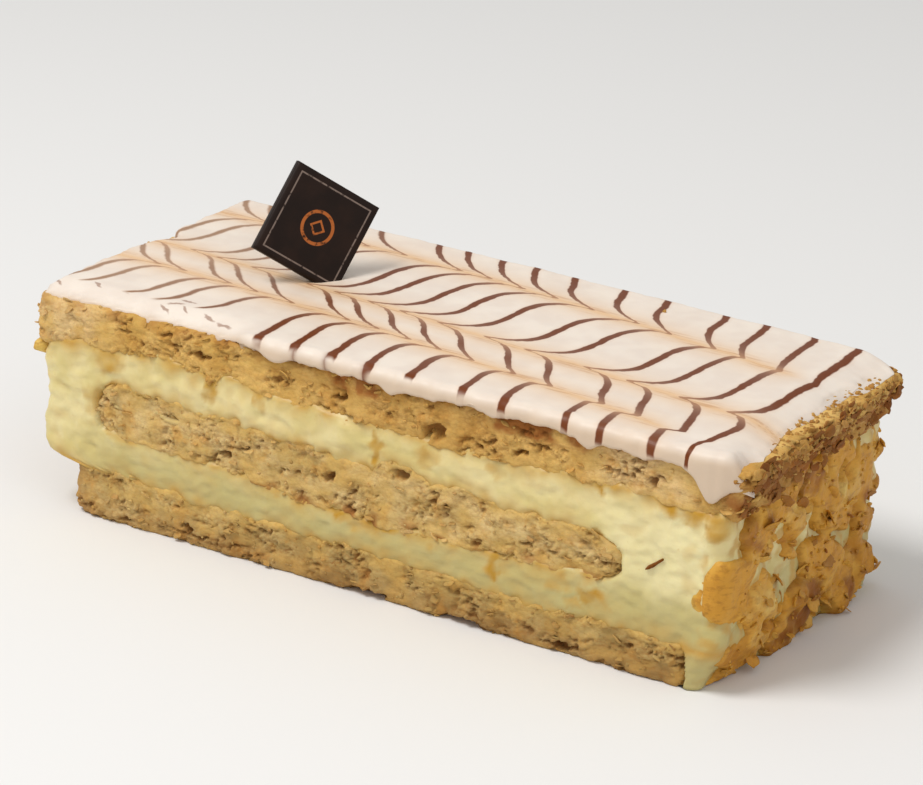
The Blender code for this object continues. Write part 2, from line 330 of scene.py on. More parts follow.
def shown(red, green, blue):
    """A colour given as it shows on a screen, from 0 to 255, as the light that it sends back."""
    light = []
    for part in (red, green, blue):
        share = part / 255.0
        light.append(share / 12.92 if share < 0.04 else ((share + 0.055) / 1.055) ** 2.4)
    return (*light, 1.0)


class Finish:
    """A material made of nodes. Places inside it are counted as in the slice."""

    def __init__(self, name, **constants):
        self.material = bpy.data.materials.new(name)
        self.material.use_nodes = True
        self.tree = self.material.node_tree
        self.shader = self.tree.nodes["Principled BSDF"]
        for socket, value in constants.items():
            self.shader.inputs[socket.replace("_", " ")].default_value = value

    def node(self, kind, settings, inputs, output=0):
        made = self.tree.nodes.new(kind)
        for name, value in settings.items():
            setattr(made, name, value)
        for name, value in inputs.items():
            self.feed(made.inputs[name], value)
        return Value(self, made.outputs[output])

    def feed(self, socket, value):
        if isinstance(value, Value):
            self.tree.links.new(value.socket, socket)
        else:
            socket.default_value = value

    def places(self, shift=(LEFT, FRONT, 0.0)):
        """The place of each point, as a vector in millimetres."""
        point = self.node("ShaderNodeTexCoord", {}, {}, output="Object")
        scaled = self.node("ShaderNodeVectorMath", {"operation": "SCALE"}, {0: point, "Scale": 1 / MM})
        return self.node("ShaderNodeVectorMath", {"operation": "SUBTRACT"}, {0: scaled, 1: shift})

    def split(self, vector):
        parts = self.node("ShaderNodeSeparateXYZ", {}, {0: vector})
        return [Value(self, output) for output in parts.socket.node.outputs]

    def stretch(self, vector, factors):
        settings = {"operation": "MULTIPLY"}
        return self.node("ShaderNodeVectorMath", settings, {0: vector, 1: factors})

    def grain(self, vector, size, detail=2.0, roughness=0.5):
        """Noise from 0 to 1, mostly near 0.5, with bumps about size across."""
        inputs = {"Vector": vector, "Scale": 1.0 / size, "Detail": detail, "Roughness": roughness}
        return self.node("ShaderNodeTexNoise", {}, inputs)

    def cells(self, vector, size):
        """0 in the middle of lumps about size across, and up to about 1 between them."""
        return self.node("ShaderNodeTexVoronoi", {}, {"Vector": vector, "Scale": 1.0 / size})

    def mark(self, name):
        settings = {"attribute_name": name}
        return self.node("ShaderNodeAttribute", settings, {}, output="Fac")

    def blend(self, share, first, second):
        """The first colour where share is 0 and the second where it is 1."""
        return self.node("ShaderNodeMix", {"data_type": "RGBA"}, {0: share, 6: first, 7: second}, output=2)

    def set(self, **values):
        for name, value in values.items():
            self.feed(self.shader.inputs[name.replace("_", " ")], value)

    def bump(self, height, distance, strength=1.0):
        """Fine relief. height is from 0 to 1, and distance its depth in millimetres."""
        inputs = {"Height": height, "Distance": distance * MM, "Strength": strength}
        self.set(Normal=self.node("ShaderNodeBump", {}, inputs, output="Normal"))


def pastry_finish():
    """Baked pastry: tan crumb, most golden in the top sheet and dullest in the bottom one, where the
    dullness is painted shade near the foot. Painted shade browns the holes and the creases between
    the lumps. It is golden where cream has soaked in, and toasted in patches."""
    baked = Finish("baked_pastry", Roughness=0.75)
    baked.shader.inputs["Specular IOR Level"].default_value = 0.2
    baked.set(Subsurface_Weight=0.12, Subsurface_Radius=(1.0, 0.6, 0.25), Subsurface_Scale=0.0012)
    place = baked.places()
    x, y, z = baked.split(place)
    leaves = baked.stretch(place, (1.0, 1.0, 1.7))
    crumb = baked.grain(leaves, 1.3, 4.0, 0.65)
    patch = baked.grain(place, 5.5, 3.0)
    warm = baked.grain(place, 3.4, 3.0)
    spot = baked.grain(leaves, 1.5, 4.0, 0.65)
    lumps = baked.cells(leaves, 0.75)
    coarse = baked.mark("coarse")
    fine = baked.grain(leaves, 0.45, 3.0, 0.6)
    in_middle, in_top = z.rise(9.0, 12.0), z.rise(23.0, 27.0)
    # The bottom sheet's tones are duller than the middle sheet's: painted shade near the foot.
    dark = baked.blend(in_middle, shown(174, 146, 90), shown(190, 160, 98))
    dark = baked.blend(in_top, dark, shown(192, 148, 74))
    light = baked.blend(in_middle, shown(206, 180, 120), shown(218, 190, 132))
    light = baked.blend(in_top, light, shown(220, 180, 106))
    colour = baked.blend(patch.rise(0.35, 0.65), dark, light)
    # Painted shade: darker towards the foot of the bottom sheet, away from its left end.
    colour = baked.blend(z.rise(9.0, 6.0) * x.rise(30.0, 55.0) * 0.35, colour, shown(126, 100, 50))
    ends = x.rise(18.0, 8.0).most(x.rise(98.0, 106.0) * x.rise(121.0, 116.0)) * in_top
    colour = baked.blend(ends * 0.6, colour, shown(230, 202, 152))
    colour = baked.blend(crumb.rise(0.5, 0.3) * 0.45, colour, shown(164, 116, 54))
    colour = baked.blend(warm.rise(0.5, 0.68) * 0.5, colour, shown(204, 150, 70))
    colour = baked.blend(baked.mark("soaked") * 0.75, colour, shown(208, 170, 94))
    # Toasted brown, and painted shade near the foot of the bottom sheet.
    colour = baked.blend(baked.mark("toast_and_shade") * 0.8, colour, shown(142, 70, 16))
    colour = baked.blend(spot.rise(0.6, 0.72) * 0.6 * coarse, colour, shown(136, 82, 28))
    # Painted shade in the creases between the lumps.
    colour = baked.blend(lumps.rise(0.45, 0.75) * 0.3 * coarse, colour, shown(144, 92, 36))
    colour = baked.blend(fine.rise(0.52, 0.7) * 0.16, colour, shown(136, 92, 40))
    # Painted shade in the holes and creases of the cut faces, from the hollow mark; on loose bits and crumbs the
    # mark is their own darker brown.
    colour = baked.blend(baked.mark("hollow"), colour, shown(122, 70, 20))
    baked.set(Base_Color=colour)
    baked.bump(fine * 0.3 + crumb * 0.4 - lumps * 0.4 * coarse, 0.26, 0.7)
    return baked.material


baked_pastry = pastry_finish()

SHEET_STEP = 0.32  # Between the points of a cut face.
LAP = 1.7  # How far a cut face runs on behind the cream, or the cream behind it.


def hollows(along, up, spots):
    """1 in the middle of a hollow and 0 outside all of them. A spot is its place, half length
    and half height."""
    deepest = np.zeros_like(along)
    for x, z, half_length, half_height in spots:
        reach = ((along - x) / half_length) ** 2 + ((up - z) / half_height) ** 2
        deepest = np.maximum(deepest, np.clip(1.0 - reach, 0.0, 1.0))
    return deepest


def seam(face, number, changes):
    """Where cream and pastry meet on the cut faces: near a layer's face, but straying from it.
    changes are how much higher it runs at places along the front cut."""

    def height(x, y):
        rim = np.stack([x, y, 0.0 * x], axis=-1)
        strays = 0.7 * noise(rim, 7.0, number) + 0.6 * noise(rim, 2.9, number + 1)
        strays += 0.25 * noise(rim, 1.3, number + 2)
        return face(x, y) + strays + np.interp(x, *zip(*changes)) * rise(y, 30.0, 0.0)

    return height


def make_sheet(ends, lower, upper, laps, worn, seed, spots, browning):
    """The shape of a sheet of pastry between two heights, cut all round. laps says whether cream
    lies under it and over it. worn gives how far each place is worn back along the slice, for its
    place and its share of the height, spots are the larger holes on the front cut, and toasted
    gives how brown each place is. Gives the shape and the places on its cut faces where loose
    bits can sit."""
    x, y, out_x, out_y = round_trip(ends[0], ends[1], 0.0, back_cut(ends[0]), 2.2, SHEET_STEP)
    columns = len(x)
    under, over = LAP * laps[0], LAP * laps[1]
    low, high = lower(x, y), upper(x, y)
    rows = int(((high - low).mean() + under + over) / SHEET_STEP) + 2
    share = np.linspace(0.0, 1.0, rows)[None, :]
    z = (low - under)[:, None] + (high - low + under + over)[:, None] * share
    low, high = low[:, None], high[:, None]
    x, y, out_x, out_y = (np.repeat(part[:, None], rows, axis=1) for part in (x, y, out_x, out_y))
    x = x - worn(x, y, z, (z - low) / (high - low))
    place = np.stack([x, y, z], axis=-1)

    # Leaves run along the sheet, and holes open between them where they are crowded. Between the
    # holes the crumb stands in lumps.
    swell = 0.9 * noise(place, (9.0, 9.0, 5.0), seed + 5)
    bent = place + swell[..., None] * np.array((0.0, 0.0, 1.0))
    bent = bent + 0.5 * noise(place, 1.6, seed + 6)[..., None]
    crowd = rise(noise(place, (8.0, 8.0, 3.0), seed + 9) + 0.3 * noise(place, 3.0, seed + 17), -0.2, 0.5)
    crack = rise(noise(bent, (2.4, 2.4, 0.8), seed + 7), 0.24, 0.5)
    hole = rise(noise(bent, (1.3, 1.3, 0.8), seed + 8), 0.3, 0.6)
    lump = np.abs(noise(bent, (1.9, 1.9, 1.2), seed + 13))
    small = np.abs(noise(bent, (0.95, 0.95, 0.65), seed + 16))
    gone = 1.4 * noise(place, 1.3, seed + 14)
    large = np.where(out_y < -0.5, hollows(x + gone, z + 0.6 * gone, spots), 0.0)
    opened = np.clip((crack + 0.9 * hole) * (0.12 + 0.88 * crowd), 0.0, 1.4)

    past = np.full_like(z, -9.0)
    if under:
        past = np.maximum(past, low - z)
    if over:
        past = np.maximum(past, z - high)
    free = np.where((z - low < high - z) == bool(under), 0.0, 1.0) if under != over else 0.0
    edge = free * np.abs(2.0 * share - 1.0) ** 8
    depth = 0.45 * noise(place, 6.0, seed + 10) + 0.3 * noise(place, (2.4, 2.4, 1.5), seed + 11)
    depth += (0.3 + 0.7 * crowd) * (0.7 * (0.25 - lump) + 0.6 * (0.25 - small))
    depth += 0.85 * opened + 1.7 * rise(large, 0.0, 0.7) + 0.7 * edge + 1.5 * rise(past, 0.1, 1.6)
    points = np.stack([x - out_x * depth, y - out_y * depth, z], axis=-1)
    crease = np.exp(-lump / 0.06) + 0.7 * np.exp(-small / 0.06)
    # The hollow mark paints shade into the holes, the large hollows and the creases between the lumps.
    hollow = 0.6 * rise(opened, 0.1, 1.0) + 0.7 * rise(large, 0.1, 0.8)
    hollow += 0.28 * crease * (0.1 + 0.9 * crowd)
    soaked = np.exp(-np.clip(-past, 0.0, 9.0) / 1.2) * rise(noise(place, 3.5, seed + 15), -0.6, 0.2)
    soaked = np.maximum(soaked, 0.8 * (1.0 - crowd) * rise(noise(place, 4.0, seed + 18), -0.3, 0.3))
    bare = (past < 0.4) & (opened < 0.3)
    seats = list(zip(points[bare], np.stack([out_x, out_y], axis=-1)[bare]))
    points, faces = close_block(points, columns, rows)
    lids = np.zeros(len(points) - columns * rows)
    kept = {"hollow": hollow, "toast_and_shade": browning(x, y, z), "soaked": soaked, "coarse": 0.45 + crowd}
    kept = {mark: np.clip(values, 0.0, 1.0).ravel() for mark, values in kept.items()}
    marks = {mark: np.concatenate([values, lids]) for mark, values in kept.items()}
    return (points, faces, marks), seats


def torn(random, turn, least):
    """The reach of a broken outline at each angle: a few straight breaks round the middle."""
    sides = random.integers(4, 7)
    faces = (np.arange(sides) + random.uniform(-0.3, 0.3, sides)) * 2.0 * np.pi / sides
    faces += random.uniform(0.0, 6.3)
    reach = np.full_like(turn, 1.25)
    for face, far in zip(faces, random.uniform(least, 1.0, sides)):
        reach = np.minimum(reach, far / np.maximum(np.cos(turn - face), 0.1))
    return reach


def flake(random, length, width, thickness, curl):
    """A thin leaf with a torn outline, curled and rippled, lying about its own middle."""
    around, shares = 15, (0.5, 0.88, 1.0)
    turn = np.linspace(-np.pi, np.pi, around, endpoint=False)
    reach = torn(random, turn, 0.6) * random.uniform(0.9, 1.1, around)
    share = np.array(shares)[None, :]
    x = np.concatenate([[0.0], (share * (reach * np.cos(turn))[:, None] * length / 2.0).ravel()])
    y = np.concatenate([[0.0], (share * (reach * np.sin(turn))[:, None] * width / 2.0).ravel()])
    rim = np.concatenate([[0.0], np.tile(shares, around)])
    bend = random.uniform(0.0, np.pi)
    run = x * math.cos(bend) + y * math.sin(bend)
    seat = np.stack([x, y, 0.0 * x + random.uniform(0.0, 99.0)], axis=-1)
    z = curl * run**2 + 0.35 * noise(seat, 2.4, 301) + 0.12 * noise(seat, 0.9, 302)
    thick = 0.5 * thickness * (1.0 - 0.55 * rim**6)
    count = len(x)
    points = np.concatenate([np.stack([x, y, z + thick], -1), np.stack([x, y, z - thick], -1)])
    faces = []
    steps = len(shares)
    for a in range(around):
        b = (a + 1) % around
        first, second = 1 + a * steps, 1 + b * steps
        faces.append((0, first, second))
        for row in range(steps - 1):
            faces.append((first + row, first + row + 1, second + row + 1, second + row))
    under = [tuple(count + corner for corner in reversed(face)) for face in faces]
    for a in range(around):
        first, second = steps * (a + 1), steps * ((a + 1) % around + 1)
        faces.append((first, first + count, second + count, second))
    return points, faces + under


work = bmesh.new()
bmesh.ops.create_icosphere(work, subdivisions=2, radius=1.0)
BALL = np.array([corner.co for corner in work.verts])
BALL_FACES = [[corner.index for corner in face.verts] for face in work.faces]
work.free()


def crumb(random, size):
    """A broken crumb: a ball, flattened and knocked out of shape."""
    lumps = 1.0 + 0.45 * noise(BALL + random.uniform(0.0, 99.0), 0.9, 303)
    squash = random.uniform(0.45, 1.0, 3) * 0.5 * size
    return BALL * lumps[:, None] * squash, BALL_FACES


def lay(points, place, out, spin, tip):
    """Turns a leaf to lie flat against a face that looks out, spun on it and tipped off it."""
    out = Vector((*out, 0.0)).normalized()
    side = Vector((0.0, 0.0, 1.0)).cross(out).normalized()
    up = out.cross(side)
    base = Matrix((side, up, out)).transposed()
    matrix = base @ Matrix.Rotation(spin, 3, "Z") @ Matrix.Rotation(tip, 3, "X")
    laid = points @ np.array(matrix).T + place
    laid[:, 2] = np.maximum(laid[:, 2], 0.05)
    return laid


def strewn(random, seats, count, sizes, tips, spins, marks):
    """Thin leaves on a rough face, each set in it by one edge. marks are the spans that each
    leaf's own marks are drawn from."""
    shapes = []
    for _ in range(count):
        point, out = seats[random.integers(len(seats))]
        length = random.uniform(*sizes)
        width = length * random.uniform(0.4, 0.8)
        points, faces = flake(random, length, width, random.uniform(0.15, 0.35), random.normal() * 0.3 / length)
        tip = random.uniform(*tips) * random.choice((-1.0, 1.0))
        lift = 0.12 * length * abs(math.sin(tip))
        points = lay(points, point + lift * np.array((*out, 0.0)), out, random.uniform(*spins), tip)
        shapes.append((points, faces, {mark: random.uniform(*span) for mark, span in marks.items()}))
    return shapes


def crumbs_on(random, seats, count, sizes, marks):
    """Broken crumbs stuck on a rough face."""
    shapes = []
    for _ in range(count):
        point, out = seats[random.integers(len(seats))]
        points, faces = crumb(random, random.uniform(*sizes))
        points = lay(points, point, out, random.uniform(0.0, 6.3), 0.0)
        shapes.append((points, faces, {mark: random.uniform(*span) for mark, span in marks.items()}))
    return shapes


def join(shapes):
    """Joins shapes, each its points, faces and marks, into one set of points, faces, marks."""
    points, faces, marks, start = [], [], {}, 0
    for shape_points, shape_faces, shape_marks in shapes:
        points.append(shape_points)
        faces += [[corner + start for corner in face] for face in shape_faces]
        start += len(shape_points)
        for mark, value in shape_marks.items():
            marks.setdefault(mark, []).append(np.broadcast_to(value, len(shape_points)))
    return np.concatenate(points), faces, {mark: np.concatenate(v) for mark, v in marks.items()}


BIT_MARKS = {"hollow": (0.0, 0.2), "toast_and_shade": (0.0, 0.25), "soaked": (0.0, 0.6), "coarse": (0.3, 1.0)}


def with_bits(shape, seats, seed):
    """A sheet with its torn leaves and crumbs."""
    random = np.random.default_rng(seed)
    shapes = [shape] + strewn(random, seats, 130, (0.7, 2.2), (0.4, 1.3), (-0.5, 0.5), BIT_MARKS)
    shapes += crumbs_on(random, seats, 240, (0.3, 0.9), BIT_MARKS)
    return join(shapes)


base_seam = seam(
    layer_face("bottom_pastry", True), 900, ((20.0, 0.0), (35.0, -0.7), (90.0, -0.7), (110.0, 0.0))
)
low, high = ends_of("bottom_pastry")
notches = ((63.0, 0.0, 4.0, 1.5), (80.0, 0.0, 4.0, 1.2), (30.0, 3.0, 1.5, 0.7), (98.0, 1.0, 2.0, 0.8))
shape, seats = make_sheet(
    (low[0], high[0]),
    lambda x, y: 0.0 * x,
    base_seam,
    (False, True),
    lambda x, y, z, share: 0.0,
    10,
    notches,
    # Toasted at the left end; the browning towards the foot is painted shade.
    lambda x, y, z: 0.3 * rise(x, 14.0, 8.0) + 0.28 * rise(z, 6.0, 1.0),
)
points, faces, marks = with_bits(shape, seats, 11)
bottom_sheet = put("bottom_sheet", points, faces, baked_pastry, **marks)
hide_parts("bottom_pastry")

# ---- Middle sheet of pastry ---------------------------------------------------------------
# A shorter sheet of the same pastry, pressed into the cream, so that cream closes over both of
# its ends. It is more open than the others, with a few large holes in the front cut.

under_middle = seam(layer_face("middle_pastry", False), 910, ((0.0, 0.3), (40.0, 0.3), (60.0, -0.4), (110.0, 0.7)))
over_middle = seam(
    layer_face("middle_pastry", True),
    920,
    ((54.0, 0.0), (58.0, -1.0), (64.0, -0.8), (66.5, 1.8), (71.0, 1.4), (75.0, -0.3), (110.0, 0.0)),
)
low, high = ends_of("middle_pastry")
MIDDLE_ENDS = (low[0] - 1.6, high[0])
holes = ((69.5, 21.6, 2.0, 0.9), (57.0, 18.0, 1.4, 0.7), (37.0, 17.0, 1.8, 0.7), (27.0, 20.5, 1.4, 0.6))


def rounded(x, y, z, share):
    """The ends of the middle sheet are worn round above and below."""
    back = 2.2 * np.clip(np.abs(2.0 * share - 1.0), 0.0, 1.4) ** 2.5
    left, right = MIDDLE_ENDS
    return back * (rise(x, right - 7.0, right) - rise(x, left + 7.0, left))


shape, seats = make_sheet(
    MIDDLE_ENDS,
    under_middle,
    over_middle,
    (True, True),
    rounded,
    30,
    holes,
    lambda x, y, z: 0.9 * rise(z, 15.2, 13.0) * rise(noise(np.stack([x, y, z], -1), 3.0, 77), -0.1, 0.5),
)
points, faces, marks = with_bits(shape, seats, 12)

# One burnt crumb of it is stuck in the cream past its right end.
stray_points = BALL * (1.6, 0.3, 0.26) * (1.0 + 0.9 * noise(BALL, 0.6, 304)[:, None])
stray_points = stray_points @ np.array(Matrix.Rotation(0.7, 3, "Y")) + (112.6, -0.2, 18.2)
stray = (stray_points, BALL_FACES, {"hollow": 1.0, "toast_and_shade": 0.0, "soaked": 0.0, "coarse": 1.0})
points, faces, marks = join([(points, faces, marks), stray])
middle_sheet = put("middle_sheet", points, faces, baked_pastry, **marks)
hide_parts("middle_pastry")

# ---- Top sheet of pastry ------------------------------------------------------------------
# The sheet under the icing reaches past the cream at both ends. Its upper rim was against the
# tray, so it is browner there, and burnt red in a few places at the front.

under_top = seam(
    layer_face("top_pastry", False),
    930,
    ((25.0, 0.0), (33.0, -0.6), (34.5, -2.6), (36.5, -0.8), (44.0, -1.5), (60.0, -1.2), (80.0, -1.4), (100.0, 0.0)),
)
top_top = layer_face("top_pastry", True)
low, high = ends_of("top_pastry")
whorl = ((75.0, 29.6, 2.4, 1.4), (58.0, 31.0, 1.2, 0.6), (32.0, 32.0, 2.2, 0.8), (90.0, 30.0, 1.4, 0.5))


def toasted_top(x, y, z):
    """Brown along the upper rim and over the right end, and burnt under the icing in front."""
    mottle = noise(np.stack([x, y, z], -1), 3.5, 78)
    rim = rise(z, 33.4, 35.2) * rise(mottle, -0.3, 0.4)
    burnt = inside(x, 57.0, 66.0, 1.5) + inside(x, 85.0, 101.0, 2.0)
    burnt = 1.3 * burnt * rise(z, 31.8, 33.4) * rise(mottle, -0.5, 0.0) * rise(y, 3.0, 0.5)
    end = rise(x, 121.0, 124.0) * (0.4 + 0.6 * rise(mottle, -0.3, 0.3)) * rise(z, 34.8, 33.4)
    burnt = burnt * (0.5 + 0.5 * rise(noise(np.stack([x, y, z], -1), 1.2, 79), -0.3, 0.3))
    return 0.5 * rim * rise(x, 124.0, 121.0) + burnt + end + 0.15 * inside(x, 50.0, 92.0, 8.0)


def undercut(x, y, z, share):
    """The right end is worn back below its rim."""
    return 2.0 * rise(z, 34.2, 30.5) * rise(x, 118.0, 125.0)


shape, seats = make_sheet(
    (low[0], high[0] - 0.5), under_top, top_top, (True, False), undercut, 50, whorl, toasted_top
)
points, faces, marks = with_bits(shape, seats, 13)

# The right end stands clear, so its rim has crumbled more.
random = np.random.default_rng(14)
seats = [(point, out) for point, out in seats if point[0] > 122.0 and point[1] > 1.5]
brown = {"hollow": (0.4, 1.0), "toast_and_shade": (0.4, 1.0), "soaked": (0.0, 0.6), "coarse": (0.3, 1.0)}
golden = {"hollow": (0.0, 0.3), "toast_and_shade": (0.1, 0.7), "soaked": (0.3, 1.0), "coarse": (0.3, 1.0)}
corner_seats = [(point, out) for point, out in seats if point[1] < 9.0 and point[2] > 31.0]
rim_seats = [(point, out) for point, out in seats if point[2] > 34.2]
crumbled = strewn(random, seats, 110, (1.0, 3.4), (0.1, 0.7), (-0.3, 0.3), brown)
crumbled += strewn(random, rim_seats, 75, (0.8, 2.8), (0.1, 0.8), (-0.3, 0.3), golden)
crumbled += crumbs_on(random, seats, 120, (0.4, 0.9), brown)
crumbled += crumbs_on(random, rim_seats, 80, (0.4, 0.9), golden)
crumbled += strewn(random, corner_seats, 30, (1.4, 3.2), (-0.2, 0.5), (-0.3, 0.3), brown)

# Golden crumbs lie along the edge of the icing at this end, at a bare place by the left end, and
# one on the icing itself.
loose = []
for _ in range(300):
    x, y = random.uniform(122.8, 126.2), random.uniform(9.0, 47.5)
    loose.append((np.array((x, y, top_top(x, y) - 0.1)), (1.0, 0.0)))
for _ in range(50):
    x, y = random.normal(2.4, 1.0), random.normal(31.5, 1.8)
    loose.append((np.array((x, y, top_top(x, y) + 0.2)), (-1.0, 0.0)))
crumbled += crumbs_on(random, loose, 260, (0.5, 1.3), golden)
speck = (np.array((87.6, 46.8, top_top(87.6, 46.8) + 2.1)), (0.0, -1.0))
crumbled += crumbs_on(random, [speck], 1, (1.0, 1.0), golden)
points, faces, marks = join([(points, faces, marks)] + crumbled)
top_sheet = put("top_sheet", points, faces, baked_pastry, **marks)
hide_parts("top_pastry")

# ---- Pastry cream -------------------------------------------------------------------------
# Two layers of set custard, spread with a knife so that they join round the ends of the middle
# sheet. The cut face is soft and lumpy, with pastry dust dragged across it by the knife.

CREAM_STEP = 0.42
CREAM_LEFT, CREAM_RIGHT = 2.4, 123.4


def cream_finish():
    cream = Finish("pastry_cream", Roughness=0.45)
    cream.set(Subsurface_Weight=0.2, Subsurface_Radius=(1.0, 0.75, 0.4), Subsurface_Scale=0.0014)
    place = cream.places()
    cloud = cream.grain(place, 7.0, 3.0)
    fleck = cream.grain(place, 0.9, 3.0, 0.6)
    x, y, z = cream.split(place)
    colour = cream.blend(cloud.rise(0.35, 0.65), shown(213, 196, 130), shown(227, 212, 156))
    # Painted shade: the cream is darker towards the foot, away from its left end.
    colour = cream.blend(z.rise(19.0, 9.0) * 0.85 * x.rise(5.0, 18.0), colour, shown(182, 170, 110))
    lit = x.rise(98.0, 112.0) * x.rise(123.0, 120.5) * z.rise(12.0, 17.0)
    colour = cream.blend(lit * 0.6, colour, shown(236, 226, 176))
    colour = cream.blend(cream.mark("dust"), colour, shown(192, 150, 66))
    colour = cream.blend(fleck.rise(0.64, 0.78) * 0.3, colour, shown(192, 150, 66))
    # Amber butter stains, and painted shade under the overhanging top of the front right corner.
    colour = cream.blend(cream.mark("stain_and_shade"), colour, shown(184, 136, 14))
    cream.set(Base_Color=colour)
    cream.bump(cream.grain(place, 1.3, 4.0, 0.5), 0.25, 0.5)
    return cream.material


pastry_cream = cream_finish()


def worn_foot(y, z):
    """How far the right end is worn back: most at its foot by the front cut."""
    return 3.2 * rise(z, 9.0, 0.0) * np.clip(1.0 - y / 50.0, 0.0, 1.0)


# Places where pastry was dragged over the cream of the front cut, and where butter has stained
# it amber, with one patch of painted shade under the overhanging top of the front right corner:
# each its middle, half length and half height.
DRAGS = (
    (16.0, 28.6, 2.6, 2.0),
    (34.5, 27.0, 1.8, 3.6),
    (44.0, 27.6, 1.4, 2.2),
    (65.0, 24.0, 1.6, 4.6),
    (74.0, 25.5, 3.0, 2.2),
    (86.0, 26.5, 2.6, 2.0),
    (12.6, 20.2, 3.4, 3.6),
    (62.0, 12.0, 6.0, 2.0),
    (75.0, 12.5, 3.0, 2.0),
    (86.0, 10.8, 1.8, 3.8),
    (97.0, 12.0, 3.2, 2.2),
    (104.0, 10.2, 3.0, 2.6),
    (100.0, 8.6, 2.4, 1.2),
    (46.0, 13.5, 3.0, 1.2),
)
STAINS_AND_SHADE = (
    (14.8, 27.2, 3.4, 2.4),
    (34.6, 27.2, 1.2, 2.6),
    (66.0, 12.6, 4.6, 1.3),
    (65.0, 24.0, 1.2, 3.6),
    (86.2, 11.0, 1.2, 3.4),
    (103.4, 28.4, 1.6, 1.8),
    # Painted shade under the overhanging top of the front right corner.
    (117.2, 28.4, 7.0, 3.0),
    (58.0, 13.2, 3.0, 1.0),
    (102.0, 10.6, 3.0, 1.4),
    (122.4, 26.5, 1.6, 2.4),
)


